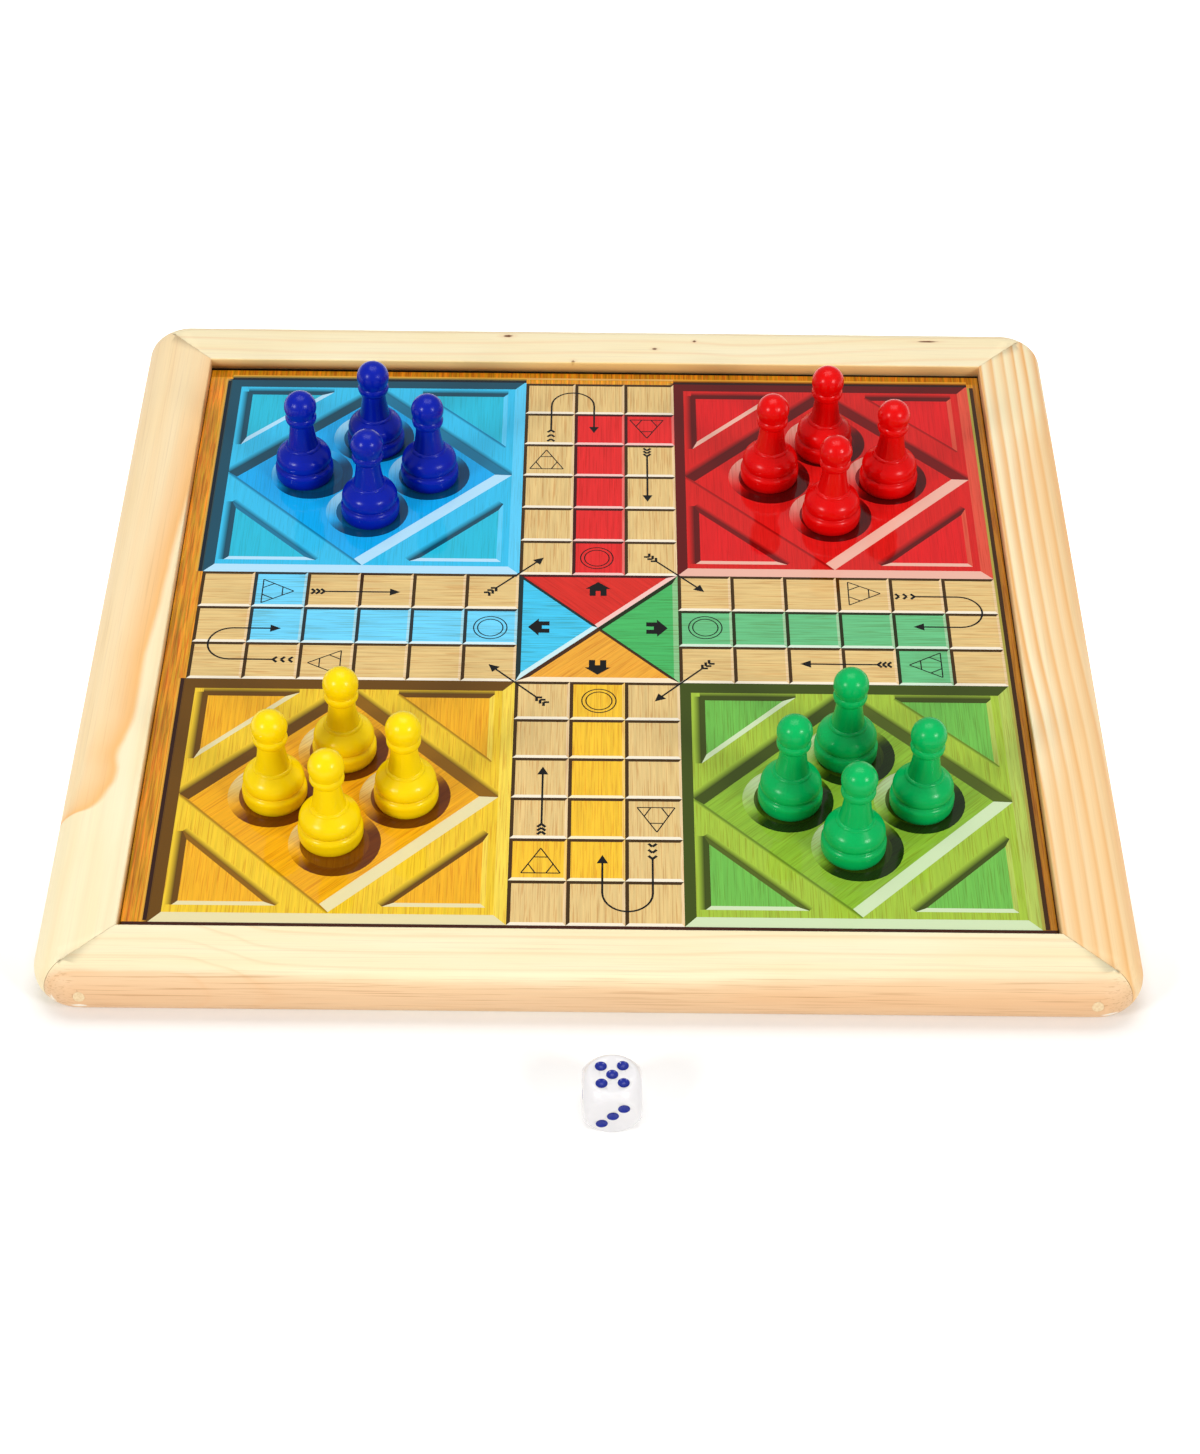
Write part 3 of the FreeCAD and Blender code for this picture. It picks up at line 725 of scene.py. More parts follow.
def sheet_mesh(name, plan, square, corner, low, high, face_up):
    """A closed printed sheet. Square is the plan's unit and corner its top left place, in metres."""
    points, outlines = [], []
    for outline, _, _ in plan:
        spots = [Vector((corner.x + p.x * square, corner.y - p.y * square)) for p in outline]
        area = sum(a.cross(b) for a, b in zip(spots, spots[1:] + spots[:1]))
        if area < 0:
            spots.reverse()
        first = len(points)
        points += [p / MM for p in spots]
        outlines.append(list(range(first, len(points))))
    cut = delaunay_2d_cdt(points, [], outlines, INSIDE_FACES, CUT_TOLERANCE, True)
    spots, _, triangles, _, _, owners = cut

    shell = bmesh.new()
    inks = shell.loops.layers.float_color.new("ink")
    face_z, back_z = (high.z, low.z) if face_up else (low.z, high.z)
    front = [shell.verts.new((p.x * MM, p.y * MM, face_z)) for p in spots]
    painted = []
    for triangle, owner in zip(triangles, owners):
        face = shell.faces.new([front[i] for i in triangle])
        painted.append((face, max(owner)))
    for face, patch in painted:
        ink = plan[patch][1]
        for loop in face.loops:
            page = Vector(((loop.vert.co.x - corner.x) / square, (corner.y - loop.vert.co.y) / square))
            loop[inks] = under_film(ink(page) if callable(ink) else ink)
    rim = [e for e in shell.edges if e.is_boundary]
    wall = bmesh.ops.extrude_edge_only(shell, edges=rim)["geom"]
    lower = [v for v in wall if isinstance(v, bmesh.types.BMVert)]
    for vertex in lower:
        vertex.co.z = back_z
    wall_edges = [e for e in wall if isinstance(e, bmesh.types.BMEdge)]
    back_rim = [e for e in wall_edges if all(v in lower for v in e.verts)]
    bmesh.ops.contextual_create(shell, geom=back_rim)
    done = {face for face, _ in painted}
    for face in shell.faces:
        if face not in done:
            for loop in face.loops:
                loop[inks] = linear(PAPER)
    if not face_up:
        bmesh.ops.reverse_faces(shell, faces=list(done))
    bmesh.ops.recalc_face_normals(shell, faces=shell.faces)
    shell.faces.index_update()
    patch_of = {face.index: patch for face, patch in painted}
    mesh = bpy.data.meshes.new(name)
    shell.to_mesh(mesh)
    shell.free()
    grain = mesh.attributes.new("grain", "FLOAT_VECTOR", "FACE")
    for index, patch in patch_of.items():
        across, down = plan[patch][2]
        grain.data[index].vector = (across, -down, 0)
    return mesh


# %% Printed film finish
# length and width of the printed grain's marks, how strong they are, and the inks they shift to
FIGURE_SIZE, FIGURE_SWING = (24 * MM, 1.0 * MM, 1), 0.11
LINE_SIZE, LINE_DEPTH, LINE_TINT = (16 * MM, 0.36 * MM, 1), 0.8, (0.80, 0.62, 0.50)
BAND_SIZE, BAND_DEPTH, OLIVE, RUST = (16 * MM, 0.8 * MM, 1), 0.8, "#D6DC86", "#FFC892"
STRONG_GRAIN, STRONGEST_GRAIN = 2.0, 3.2


def printed_film(name):
    """Ink under a clear glossy film, with the printed wood grain drawn along the grain attribute."""
    material, tree = blank_material(name)
    here = add(tree, "ShaderNodeTexCoord").outputs["Object"]
    ink = add(tree, "ShaderNodeAttribute", attribute_name="ink").outputs["Color"]
    grain = add(tree, "ShaderNodeAttribute", attribute_name="grain").outputs["Vector"]
    amount = add(tree, "ShaderNodeVectorMath", {0: grain}, operation="LENGTH").outputs["Value"]
    ahead = add(tree, "ShaderNodeVectorMath", {0: grain}, operation="NORMALIZE")
    across = add(tree, "ShaderNodeVectorMath", {0: ahead, 1: (0, 0, 1)}, operation="CROSS_PRODUCT")
    run = add(tree, "ShaderNodeVectorMath", {0: here, 1: ahead}, operation="DOT_PRODUCT")
    cross = add(tree, "ShaderNodeVectorMath", {0: here, 1: across}, operation="DOT_PRODUCT")
    page = add(tree, "ShaderNodeCombineXYZ", {0: run.outputs["Value"], 1: cross.outputs["Value"]})

    # a soft figure about a millimetre wide, then crisp brown lines of about a third of that
    figure = streaks(tree, page, FIGURE_SIZE, 3.0)
    figure = add(tree, "ShaderNodeMapRange", {
        0: figure, 1: 0.3, 2: 0.7, 3: -FIGURE_SWING, 4: FIGURE_SWING,
    })
    figure = add(tree, "ShaderNodeMath", {0: figure, 1: amount, 2: 1.0}, operation="MULTIPLY_ADD")
    colour = add(tree, "ShaderNodeVectorMath", {0: ink, 1: figure}, operation="MULTIPLY")
    lines = add(tree, "ShaderNodeMapRange", {
        0: streaks(tree, page, LINE_SIZE), 1: 0.54, 2: 0.61, 3: 0.0, 4: LINE_DEPTH,
    })
    lines = add(tree, "ShaderNodeMath", {0: lines, 1: amount}, operation="MULTIPLY", use_clamp=True)
    brown = add(tree, "ShaderNodeVectorMath", {0: colour, 1: LINE_TINT}, operation="MULTIPLY")
    colour = add(tree, "ShaderNodeMix", {0: lines, 6: colour, 7: brown}, data_type="RGBA").outputs[2]
    # where the grain is strong, as in the border, it also wanders between olive and rust
    band = add(tree, "ShaderNodeMapRange", {0: streaks(tree, page, BAND_SIZE), 1: 0.36, 2: 0.64})
    tint = add(tree, "ShaderNodeMix", {0: band, 6: linear(OLIVE), 7: linear(RUST)}, data_type="RGBA")
    wander = add(tree, "ShaderNodeMapRange", {
        0: amount, 1: STRONG_GRAIN, 2: STRONGEST_GRAIN, 3: 0.0, 4: BAND_DEPTH,
    })
    colour = add(tree, "ShaderNodeMix", {0: wander, 6: colour, 7: tint.outputs[2]},
                 data_type="RGBA", blend_type="MULTIPLY")

    # the film is not quite flat, which softens reflections
    ripple = add(tree, "ShaderNodeTexNoise", {"Vector": here, "Scale": 1 / (7 * MM), "Detail": 2.0})
    bump = add(tree, "ShaderNodeBump", {"Height": ripple, "Strength": 0.03, "Distance": 0.1 * MM})
    smear = add(tree, "ShaderNodeTexNoise", {"Vector": here, "Scale": 1 / (24 * MM), "Detail": 5.0})
    gloss = add(tree, "ShaderNodeMapRange", {0: smear, 1: 0.3, 2: 0.7, 3: 0.04, 4: 0.09})
    skin = add(tree, "ShaderNodeBsdfPrincipled", {
        "Base Color": colour.outputs[2], "Roughness": gloss, "IOR": 1.5,
        "Specular IOR Level": 0.33, "Normal": bump,
    })
    add(tree, "ShaderNodeOutputMaterial", {"Surface": skin})
    return material


# %% Lay out and print the ludo face
CELL = 16.6 * MM
PRINT_SHIFT = Vector((1.7 * MM, -0.55 * MM, 0))
ludo_corner = board_centre + PRINT_SHIFT + Vector((-7.5 * CELL, 7.5 * CELL, 0))
left_edge = (sheet_low.x - ludo_corner.x) / CELL
right_edge = (sheet_high.x - ludo_corner.x) / CELL
top_edge = (ludo_corner.y - sheet_high.y) / CELL
bottom_edge = (ludo_corner.y - sheet_low.y) / CELL

ludo_plan = []
opening_left = (board_centre.x - half_opening - ludo_corner.x) / CELL
opening_right = (board_centre.x + half_opening - ludo_corner.x) / CELL
opening_top = (ludo_corner.y - board_centre.y - half_opening) / CELL
# painted shade: the width of the dark line that stands for the shadow at the foot of the rails
RAIL_SHADE_LINE = 0.03
# the border's ground and its strips, then painted shade: dark lines where the print meets the front,
# left, right and back rails
for outline, ink, grain in (
    (box_outline(left_edge, top_edge, right_edge, bottom_edge), BORDER, (0.0, 3.2)),
    (box_outline(left_edge, top_edge, right_edge, -0.12), "#CE9030", (0.0, 3.6)),
    (box_outline(0, -0.19, 15, -0.13), "#DDAE62", (1.0, 0.0)),
    (box_outline(15, 0, 15.048, 15.03), "#B4AA50", NO_GRAIN),
    (box_outline(15.048, 0, 15.125, 15.03), "#4E3822", (0.0, 1.0)),
    (box_outline(15.125, top_edge, right_edge, bottom_edge), "#C08434", (0.0, 2.2)),
    # painted shade along the front, left, right and back rails
    (box_outline(left_edge, 15.035, right_edge, 15.15), "#4A2E18", NO_GRAIN),
    (box_outline(left_edge, top_edge, opening_left + RAIL_SHADE_LINE / 2, bottom_edge), "#6A4A22", NO_GRAIN),
    (box_outline(opening_right - RAIL_SHADE_LINE / 2, top_edge, right_edge, bottom_edge), "#40301A", NO_GRAIN),
    (box_outline(left_edge, top_edge, right_edge, opening_top + 1.6 * RAIL_SHADE_LINE), "#20140A", NO_GRAIN),
):
    paint(ludo_plan, outline, ink, grain)
for corner, palette in YARDS.values():
    draw_yard(ludo_plan, corner, palette)
squares = draw_track(ludo_plan)
draw_homes(ludo_plan)
draw_marks(ludo_plan)
film = printed_film("glossy printed film")
ludo_mesh = sheet_mesh("ludo_print", ludo_plan, CELL, ludo_corner, sheet_low, sheet_high, True)
place("ludo_print", ludo_mesh, film, "board", "ludo_sheet")
print("ludo print:", squares, "squares,", len(ludo_plan), "patches,", len(ludo_mesh.polygons), "faces")

# %% [markdown]
# ## The chess face
# Nothing shows of the underside, so it gets the plain board that such panels carry: eight by eight
# squares of dark and pale wood inside a dark border with a pale line.

# %% Print the chess face
CHESS_SQUARE = 29.5 * MM
CHESS_BORDER, CHESS_LINE, CHESS_EDGE = "#6A3B1E", "#E6CD98", "#4A2814"
PALE_SQUARE, DARK_SQUARE = ("#EBD3A0", ALONG_ARM_ACROSS), ("#7A431F", (0.0, 1.6))
chess_corner = board_centre + Vector((-4 * CHESS_SQUARE, 4 * CHESS_SQUARE, 0))
reach = half_sheet / CHESS_SQUARE
chess_plan = []
paint(chess_plan, box_outline(4 - reach, 4 - reach, 4 + reach, 4 + reach), CHESS_BORDER, (2.0, 0.0))
paint(chess_plan, box_outline(-0.16, -0.16, 8.16, 8.16), CHESS_LINE)
paint(chess_plan, box_outline(-0.10, -0.10, 8.10, 8.10), CHESS_EDGE, ALONG_ARM_ACROSS)
for column in range(8):
    for row in range(8):
        ink, grain = DARK_SQUARE if (column + row) % 2 else PALE_SQUARE
        paint(chess_plan, box_outline(column, row, column + 1, row + 1), ink, grain)
chess_mesh = sheet_mesh("chess_print", chess_plan, CHESS_SQUARE, chess_corner,
                        underside_low, underside_high, False)
place("chess_print", chess_mesh, film, "board", "chess_sheet")
print("chess print:", len(chess_mesh.polygons), "faces")

# %% [markdown]
# ## Pawns
# The pawns are turned shapes moulded in glossy polystyrene, hollow underneath. A turned shape
# follows a rule, one outline swept round an axis, so Geometry Nodes make it: a grid has one row for
# each point of the outline and one column for each step round the axis. Two columns stand out by a
# hair, which is the line that the two halves of the mould leave.

# %% Outline of a pawn, from the hollow underneath to the top of the ball
FOOT_RADIUS, FOOT_HEIGHT, FOOT_SWELL = 9.4, 5.2, 0.5
FOOT_ROUND_LOW, FOOT_ROUND_TOP, FOOT_ROUND_IN = 2.0, 1.5, 0.75
GROOVE_HEIGHT, GROOVE_DEPTH = 0.7, 0.35
BELL_SET_IN, BELL_OVERHANG, BELL_RISE, BELL_ROUND, BELL_HEIGHT = 0.3, 0.3, 1.2, 4.3, 4.7
BEAD_STEP, BEAD_HEIGHT = 0.85, 0.9
NECK_FOOT_RADIUS, NECK_TOP_RADIUS, NECK_HEIGHT, NECK_HOLLOW = 4.95, 3.8, 8.3, 0.2
COLLAR_STEP, COLLAR_LEDGE, COLLAR_RISE, COLLAR_FALL = 1.2, 0.6, 2.2, 1.4
HEAD_RISE = 2.77
PAWN_WALL, HOLLOW_DRAFT = 2.1, 0.4


def swell(wide, end, steps):
    """Points of the arc that leaves the widest circle upright and closes in to the end circle."""
    (wide_r, wide_z), (end_r, end_z) = wide, end
    drop, rise = wide_r - end_r, end_z - wide_z
    radius = (drop ** 2 + rise ** 2) / (2 * drop)
    sweep = math.atan2(rise, radius - drop)
    turns = [sweep * i / steps for i in range(steps + 1)]
    return [(wide_r - radius + radius * math.cos(t), wide_z + radius * math.sin(t)) for t in turns]


def bow(start, end, out, steps):
    """Points from start to end that bow outwards by a given amount at the middle."""
    (start_r, start_z), (end_r, end_z) = start, end
    points = []
    for i in range(steps + 1):
        share = i / steps
        points.append((start_r + (end_r - start_r) * share + out * 4 * share * (1 - share),
                       start_z + (end_z - start_z) * share))
    return points


def rounded_slope(rim, radius, end, steps):
    """Points of a rounded rim that starts upright, then of the straight slope to the end circle."""
    centre = (rim[0] - radius, rim[1])
    across, rise = end[0] - centre[0], end[1] - centre[1]
    sweep = math.atan2(rise, across) - math.acos(radius / math.hypot(across, rise))
    turns = [sweep * i / steps for i in range(steps + 1)]
    rounded = [(centre[0] + radius * math.cos(t), centre[1] + radius * math.sin(t)) for t in turns]
    return rounded + bow(rounded[-1], end, 0.0, steps)[1:]


def pawn_outline():
    """The outline as radius and height in mm, and how many of its points lie in the hollow."""
    foot_edge = FOOT_RADIUS - FOOT_SWELL
    bell_edge = (foot_edge - BELL_SET_IN, FOOT_HEIGHT + GROOVE_HEIGHT)
    bell = (bell_edge[0] + BELL_OVERHANG, bell_edge[1] + BELL_RISE)
    shoulder = (NECK_FOOT_RADIUS + BEAD_STEP, bell[1] + BELL_HEIGHT)
    neck_foot = (NECK_FOOT_RADIUS, shoulder[1] + BEAD_HEIGHT)
    neck_top = (NECK_TOP_RADIUS, neck_foot[1] + NECK_HEIGHT)
    collar = (NECK_TOP_RADIUS + COLLAR_STEP, neck_top[1] + COLLAR_RISE)
    seat = (collar[0] - COLLAR_LEDGE, collar[1] + COLLAR_FALL)
    ball_z = seat[1] + HEAD_RISE
    ball = math.hypot(seat[0], HEAD_RISE)
    mouth = (foot_edge - PAWN_WALL, 0.0)
    hollow_side = (mouth[0] - HOLLOW_DRAFT, bell[1])
    hollow_end = (shoulder[0] - PAWN_WALL, shoulder[1] - PAWN_WALL)
    hollow = [(0.0, hollow_end[1])] + swell(hollow_side, hollow_end, 6)[::-1] + [mouth]
    start = math.atan2(-HEAD_RISE, seat[0])
    turns = [start + (math.pi / 2 - start) * i / 18 for i in range(19)]
    foot_top = (FOOT_RADIUS - FOOT_ROUND_IN, FOOT_HEIGHT)
    skin = swell((FOOT_RADIUS, FOOT_ROUND_LOW), (foot_edge, 0.0), 5)[::-1]
    skin += swell((FOOT_RADIUS, FOOT_HEIGHT - FOOT_ROUND_TOP), foot_top, 6)
    skin += bow(foot_top, bell_edge, -GROOVE_DEPTH, 6)[1:]
    skin += swell(bell, bell_edge, 5)[::-1][1:]
    skin += rounded_slope(bell, BELL_ROUND, shoulder, 6)[1:]
    skin += swell(shoulder, neck_foot, 5)[1:]
    skin += bow(neck_foot, neck_top, -NECK_HOLLOW, 8)[1:]
    skin += swell(collar, neck_top, 6)[::-1][1:]
    skin += swell(collar, seat, 6)[1:-1]
    skin += [(ball * math.cos(t), ball_z + ball * math.sin(t)) for t in turns[2:-1]]
    skin += [(0.0, ball_z + ball)]
    return hollow + skin, len(hollow)


pawn_points, hollow_points = pawn_outline()
print("pawn outline:", len(pawn_points), "points, height", round(pawn_points[-1][1], 1), "mm")

# %% Turn the outline with Geometry Nodes
STEPS_ROUND, MOULD_LINE = 144, 0.06 * MM
AXIS_CLEAR, MERGE_WITHIN = 0.5 * MM, 0.004 * MM
PAWN_CREASE = math.radians(38)


def lathe_tree():
    """Sweeps the input's points, in their order, round the vertical axis."""
    tree = bpy.data.node_groups.new("turned on an axis", "GeometryNodeTree")
    for name, way, kind in (
        ("Outline", "INPUT", "Geometry"), ("Steps round", "INPUT", "Int"),
        ("Mould line", "INPUT", "Float"), ("First skin row", "INPUT", "Int"),
        ("Plastic", "INPUT", "Material"), ("Turned", "OUTPUT", "Geometry"),
    ):
        tree.interface.new_socket(name, in_out=way, socket_type="NodeSocket" + kind)
    given = add(tree, "NodeGroupInput").outputs
    size = add(tree, "GeometryNodeAttributeDomainSize", {0: given["Outline"]}, component="MESH")
    rows = size.outputs["Point Count"]
    columns = add(tree, "ShaderNodeMath", {0: given["Steps round"], 1: 1.0})
    grid = add(tree, "GeometryNodeMeshGrid", {
        "Size X": 1.0, "Size Y": 1.0, "Vertices X": columns, "Vertices Y": rows,
    })
    # the grid counts its rows first, so a point's number gives its row and column
    number = add(tree, "GeometryNodeInputIndex")
    row = add(tree, "ShaderNodeMath", {0: number, 1: rows}, operation="MODULO")
    column = add(tree, "ShaderNodeMath", {0: number, 1: rows}, operation="DIVIDE")
    column = add(tree, "ShaderNodeMath", {0: column}, operation="FLOOR")
    spot = add(tree, "GeometryNodeInputPosition")
    drawn = add(tree, "GeometryNodeSampleIndex", {
        "Geometry": given["Outline"], "Value": spot, "Index": row,
    }, data_type="FLOAT_VECTOR", domain="POINT")
    half = add(tree, "ShaderNodeMath", {0: given["Steps round"], 1: 0.5}, operation="MULTIPLY")
    place_in_half = add(tree, "ShaderNodeMath", {0: column, 1: half}, operation="MODULO")
    on_line = add(tree, "ShaderNodeMath", {0: place_in_half, 1: 0.5}, operation="LESS_THAN")
    on_skin = add(tree, "ShaderNodeMath", {0: row, 1: given["First skin row"]},
                  operation="GREATER_THAN")
    stands = add(tree, "ShaderNodeMath", {0: on_line, 1: on_skin}, operation="MULTIPLY")
    parts = add(tree, "ShaderNodeSeparateXYZ", {0: drawn})
    off_axis = add(tree, "ShaderNodeMath", {0: parts, 1: AXIS_CLEAR}, operation="GREATER_THAN")
    stands = add(tree, "ShaderNodeMath", {0: stands, 1: off_axis}, operation="MULTIPLY")
    radius = add(tree, "ShaderNodeMath", {0: stands, 1: given["Mould line"], 2: parts},
                 operation="MULTIPLY_ADD")
    share = add(tree, "ShaderNodeMath", {0: column, 1: given["Steps round"]}, operation="DIVIDE")
    turn = add(tree, "ShaderNodeMath", {0: share, 1: 2 * math.pi}, operation="MULTIPLY")
    right = add(tree, "ShaderNodeMath", {0: turn}, operation="COSINE")
    right = add(tree, "ShaderNodeMath", {0: right, 1: radius}, operation="MULTIPLY")
    back = add(tree, "ShaderNodeMath", {0: turn}, operation="SINE")
    back = add(tree, "ShaderNodeMath", {0: back, 1: radius}, operation="MULTIPLY")
    round_spot = add(tree, "ShaderNodeCombineXYZ", {0: right, 1: back, 2: parts.outputs[2]})
    turned = add(tree, "GeometryNodeSetPosition", {"Geometry": grid, "Position": round_spot})
    closed = add(tree, "GeometryNodeMergeByDistance", {"Geometry": turned, "Distance": MERGE_WITHIN})
    real = add(tree, "GeometryNodeRealizeInstances", {0: closed})
    finished = add(tree, "GeometryNodeSetMaterial", {"Geometry": real, "Material": given["Plastic"]})
    add(tree, "NodeGroupOutput", {0: finished})
    return tree


def polystyrene(name, ink, deep):
    """Injection-moulded polystyrene: one colour right through, a hard gloss, a faint orange peel."""
    material, tree = blank_material(name)
    here = add(tree, "ShaderNodeTexCoord").outputs["Object"]
    flow = add(tree, "ShaderNodeTexNoise", {"Vector": here, "Scale": 1 / (6 * MM), "Detail": 3.0})
    colour = add(tree, "ShaderNodeMix", {0: flow, 6: linear(ink), 7: linear(deep)}, data_type="RGBA")
    peel = add(tree, "ShaderNodeTexNoise", {"Vector": here, "Scale": 1 / (2.5 * MM), "Detail": 1.0})
    bump = add(tree, "ShaderNodeBump", {"Height": peel, "Strength": 0.004, "Distance": 0.05 * MM})
    gloss = add(tree, "ShaderNodeMapRange", {0: flow, 1: 0.3, 2: 0.7, 3: 0.2, 4: 0.28})
    skin = add(tree, "ShaderNodeBsdfPrincipled", {
        "Base Color": colour.outputs[2], "Roughness": gloss, "IOR": 1.5, "Specular IOR Level": 0.2,
        "Normal": bump,
    })
    add(tree, "ShaderNodeOutputMaterial", {"Surface": skin})
    return material


def turn_pawn(plastic):
    """One pawn at the origin as a plain mesh."""
    mesh = bpy.data.meshes.new("pawn outline")
    points = [(r * MM, 0, z * MM) for r, z in pawn_points]
    mesh.from_pydata(points, [(i, i + 1) for i in range(len(points) - 1)], [])
    blank = bpy.data.objects.new("pawn outline", mesh)
    bpy.context.scene.collection.objects.link(blank)
    tree = lathe_tree()
    modifier = blank.modifiers.new("lathe", "NODES")
    modifier.node_group = tree
    settings = {
        "Steps round": STEPS_ROUND, "Mould line": MOULD_LINE, "First skin row": hollow_points,
        "Plastic": plastic,
    }
    for item in tree.interface.items_tree:
        if item.name in settings:
            modifier[item.identifier] = settings[item.name]
    evaluated = blank.evaluated_get(bpy.context.evaluated_depsgraph_get())
    turned = bpy.data.meshes.new_from_object(evaluated)
    bpy.data.objects.remove(blank)
    shell = bmesh.new()
    shell.from_mesh(turned)
    bmesh.ops.recalc_face_normals(shell, faces=shell.faces)
    shell.to_mesh(turned)
    shell.free()
    turned.shade_smooth()
    turned.set_sharp_from_angle(angle=PAWN_CREASE)
    return turned


# %% Set the pawns down
PAWN_INKS = {
    "blue": ("#0320AE", "#021AA2"), "red": ("#EA0303", "#E00202"),
    "yellow": ("#FFE104", "#FFD802"), "green": ("#01BB61", "#01AF58"),
}
chance = random.Random(7)
for colour, (ink, deep) in PAWN_INKS.items():
    plastic = polystyrene("moulded polystyrene " + colour, ink, deep)
    pattern = turn_pawn(plastic)
    for spot in ("left", "right", "back", "front"):
        node = "pawn_" + colour + "_" + spot
        low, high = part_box(node)
        stand = Vector(((low.x + high.x) / 2, (low.y + high.y) / 2, low.z))
        mesh = pattern.copy()
        mesh.transform(Matrix.Translation(stand) @ Matrix.Rotation(chance.uniform(0, math.pi), 4, "Z"))
        place(colour + "_pawn_" + spot, mesh, plastic, node, node)
    print(colour, "pawns:", len(pattern.polygons), "faces each")

# %% [markdown]
# ## Die
# The die is cast in slightly see-through white plastic with tumbled edges. Its pips are dimples
# lined with blue paint. Light that enters the white body and leaves again beside the shadow is what
# makes it look like plastic and not like chalk, so its finish scatters light below the surface.

# %% Die
def cast_white(name):
    """Cast acrylic: milky, glossy, with light scattered below its skin."""
    material, tree = blank_material(name)
    here = add(tree, "ShaderNodeTexCoord").outputs["Object"]
    cloud = add(tree, "ShaderNodeTexNoise", {"Vector": here, "Scale": 1 / (5 * MM), "Detail": 3.0})
    colour = add(tree, "ShaderNodeMix", {0: cloud, 6: linear("#EFECEC"), 7: linear("#E9E7E8")},
                 data_type="RGBA")
    gloss = add(tree, "ShaderNodeMapRange", {0: cloud, 1: 0.3, 2: 0.7, 3: 0.16, 4: 0.26})
    skin = add(tree, "ShaderNodeBsdfPrincipled", {
        "Base Color": colour.outputs[2], "Roughness": gloss, "IOR": 1.49, "Specular IOR Level": 0.3,
        "Subsurface Weight": 0.4, "Subsurface Radius": (1.0, 1.0, 1.1), "Subsurface Scale": 1.6 * MM,
    })
    add(tree, "ShaderNodeOutputMaterial", {"Surface": skin})
    return material


def pip_paint(name):
    """Brushed-in enamel, a little uneven at the bottom of each dimple."""
    material, tree = blank_material(name)
    here = add(tree, "ShaderNodeTexCoord").outputs["Object"]
    pool = add(tree, "ShaderNodeTexNoise", {"Vector": here, "Scale": 1 / (0.9 * MM), "Detail": 3.0})
    colour = add(tree, "ShaderNodeMix", {0: pool, 6: linear("#2C3CA6"), 7: linear("#141F78")},
                 data_type="RGBA")
    bump = add(tree, "ShaderNodeBump", {"Height": pool, "Strength": 0.8, "Distance": 0.12 * MM})
    skin = add(tree, "ShaderNodeBsdfPrincipled", {
        "Base Color": colour.outputs[2], "Roughness": 0.2, "IOR": 1.5, "Specular IOR Level": 0.3,
        "Normal": bump,
    })
    add(tree, "ShaderNodeOutputMaterial", {"Surface": skin})
    return material


acrylic, enamel = cast_white("cast white acrylic"), pip_paint("blue pip enamel")
place("die", smooth_copy("die_body", "die"), acrylic, "die", "die_body")
place("pip_paint", smooth_copy("die_pips", "pip_paint"), enamel, "die", "die_pips")

# %% [markdown]
# ## Table, light and camera
# The photograph is a product shot on white: a pale floor, a broad light overhead and one softbox to
# each side. The floor reflects like white card for the light, and the camera sees it lifted to pure
# white, so that only the contact shadow is left.

# %% Floor
FLOOR_HALF = 4.0
# the lift grows away from the front rail's line, and beyond this distance to the sides
LIFT_NEAR, LIFT_FAR, LIFT_WITHIN = 0.06, 0.7, 0.12
LIFT_ASIDE = 1.4 * half_board


def white_card():
    """Matt white card that the camera, and mirrors, see a little brighter than it lights the scene."""
    material, tree = blank_material("white card")
    here = add(tree, "ShaderNodeTexCoord").outputs["Object"]
    fibre = add(tree, "ShaderNodeTexNoise", {"Vector": here, "Scale": 1 / (3 * MM), "Detail": 3.0})
    colour = add(tree, "ShaderNodeMix", {0: fibre, 6: linear("#F4F3F1"), 7: linear("#F0EFED")},
                 data_type="RGBA")
    card = add(tree, "ShaderNodeBsdfDiffuse", {"Color": colour.outputs[2]})
    ray = add(tree, "ShaderNodeLightPath")
    seen = add(tree, "ShaderNodeMath", {
        0: ray.outputs["Is Camera Ray"], 1: ray.outputs["Is Glossy Ray"],
    }, operation="MAXIMUM")
    seen = add(tree, "ShaderNodeMath", {0: seen, 1: ray.outputs["Is Transmission Ray"]},
               operation="MAXIMUM")
    across, back, _ = add(tree, "ShaderNodeSeparateXYZ", {0: here}).outputs
    away = add(tree, "ShaderNodeMath", {0: back, 1: rail_low.y}, operation="SUBTRACT")
    away = add(tree, "ShaderNodeMath", {0: away}, operation="ABSOLUTE")
    aside = add(tree, "ShaderNodeMath", {0: across}, operation="ABSOLUTE")
    aside = add(tree, "ShaderNodeMath", {0: aside, 1: LIFT_ASIDE}, operation="SUBTRACT")
    away = add(tree, "ShaderNodeMath", {0: away, 1: aside}, operation="MAXIMUM")
    level = add(tree, "ShaderNodeMapRange", {
        0: away, 1: 0.0, 2: LIFT_WITHIN, 3: LIFT_NEAR, 4: LIFT_FAR,
    })
    lift = add(tree, "ShaderNodeMath", {0: seen, 1: level}, operation="MULTIPLY")
    glow = add(tree, "ShaderNodeEmission", {"Color": (1, 1, 1, 1), "Strength": lift})
    both = add(tree, "ShaderNodeAddShader", {0: card, 1: glow})
    add(tree, "ShaderNodeOutputMaterial", {"Surface": both})
    return material


floor_mesh = bpy.data.meshes.new("floor")
floor_points = [(x * FLOOR_HALF, y * FLOOR_HALF, rail_low.z) for x, y in FOUR_CORNERS]
floor_mesh.from_pydata(floor_points, [], [(0, 1, 2, 3)])
floor_mesh.materials.append(white_card())
floor = bpy.data.objects.new("floor", floor_mesh)
bpy.context.scene.collection.objects.link(floor)
print("floor at", round(rail_low.z / MM, 2), "mm")

# %% Light
def softbox(name, at, size, watts):
    """A rectangular lamp that faces the middle of the board."""
    lamp = bpy.data.lights.new(name, "AREA")
    lamp.shape = "RECTANGLE"
    lamp.size, lamp.size_y = size
    lamp.energy = watts
    holder = bpy.data.objects.new(name, lamp)
    holder.location = at
    holder.rotation_euler = (board_centre - Vector(at)).to_track_quat("-Z", "Y").to_euler()
    bpy.context.scene.collection.objects.link(holder)


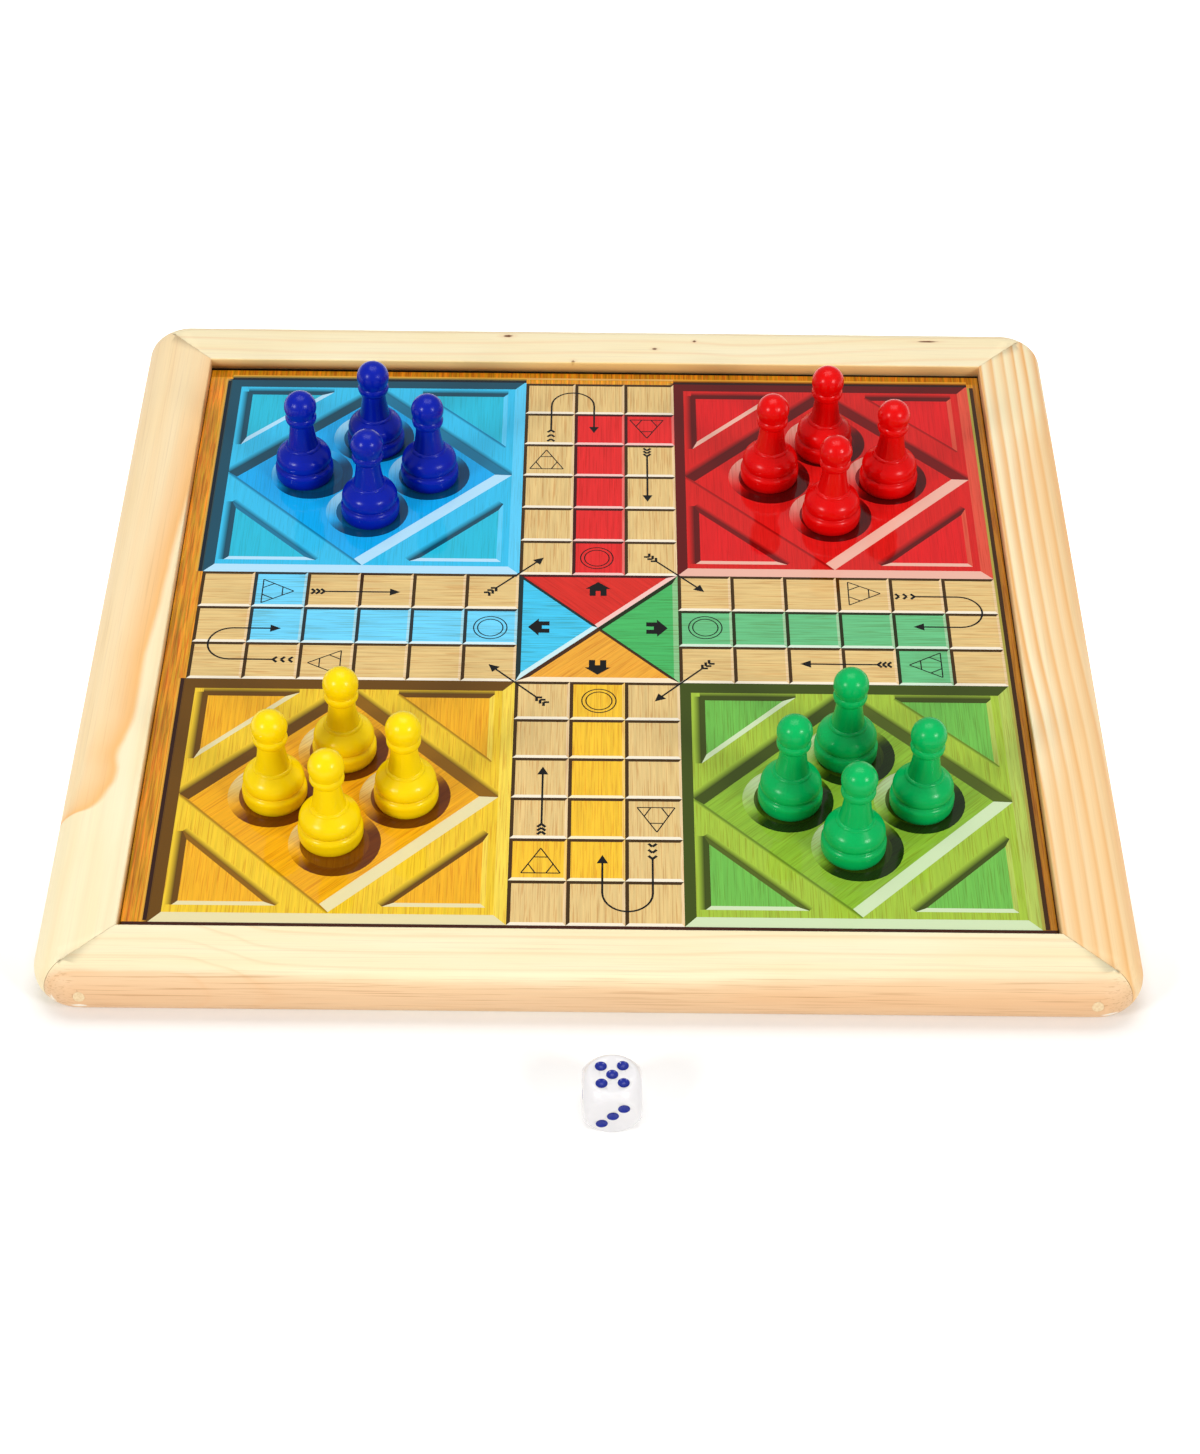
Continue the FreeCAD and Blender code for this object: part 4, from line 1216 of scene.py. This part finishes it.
for name, at, size, watts in (
    ("overhead", (0.0, 0.25, 1.2), (0.9, 0.7), 6.6),
    ("left softbox", (-0.95, -0.85, 0.75), (0.32, 0.32), 8.0),
    ("right softbox", (0.95, -0.85, 0.75), (0.32, 0.32), 8.0),
):
    softbox(name, at, size, watts)
    print(name, watts, "W")

world = bpy.data.worlds.new("studio")
bpy.context.scene.world = world
world.use_nodes = True
sky = world.node_tree
sky.nodes.clear()
ray = add(sky, "ShaderNodeLightPath")
mirrored = add(sky, "ShaderNodeMath", {
    0: ray.outputs["Is Glossy Ray"], 1: ray.outputs["Is Transmission Ray"],
}, operation="MAXIMUM")
strength = add(sky, "ShaderNodeMapRange", {0: mirrored, 3: 0.32, 4: 0.5})
strength = add(sky, "ShaderNodeMix", {0: ray.outputs["Is Camera Ray"], 2: strength, 3: 1.0})
backdrop = add(sky, "ShaderNodeBackground", {"Color": (1, 1, 1, 1), "Strength": strength})
add(sky, "ShaderNodeOutputWorld", {"Surface": backdrop})
bpy.context.scene.view_settings.view_transform = "Standard"

# %% Camera
CAMERA_AT = Vector((0.097, -663.024, 613.157)) * MM
CAMERA_TURN, CAMERA_PITCH, CAMERA_ROLL = math.radians(-0.223), math.radians(43.433), math.radians(0.728)
LENS = 88.43
level = math.cos(CAMERA_PITCH)
back = Vector((math.sin(CAMERA_TURN) * level, -math.cos(CAMERA_TURN) * level, math.sin(CAMERA_PITCH)))
right = Vector((math.cos(CAMERA_TURN), math.sin(CAMERA_TURN), 0))
up = back.cross(right)
rolled_right = right * math.cos(CAMERA_ROLL) + up * math.sin(CAMERA_ROLL)
rolled_up = up * math.cos(CAMERA_ROLL) - right * math.sin(CAMERA_ROLL)
lens = bpy.data.cameras.new("camera")
lens.sensor_fit = "HORIZONTAL"
lens.sensor_width = 36
lens.lens = LENS
camera = bpy.data.objects.new("camera", lens)
axes = Matrix((rolled_right, rolled_up, back)).transposed()
camera.matrix_world = Matrix.Translation(CAMERA_AT) @ axes.to_4x4()
bpy.context.scene.collection.objects.link(camera)
bpy.context.scene.camera = camera
print("camera at", [round(v / MM, 1) for v in CAMERA_AT], "mm, lens", LENS, "mm")
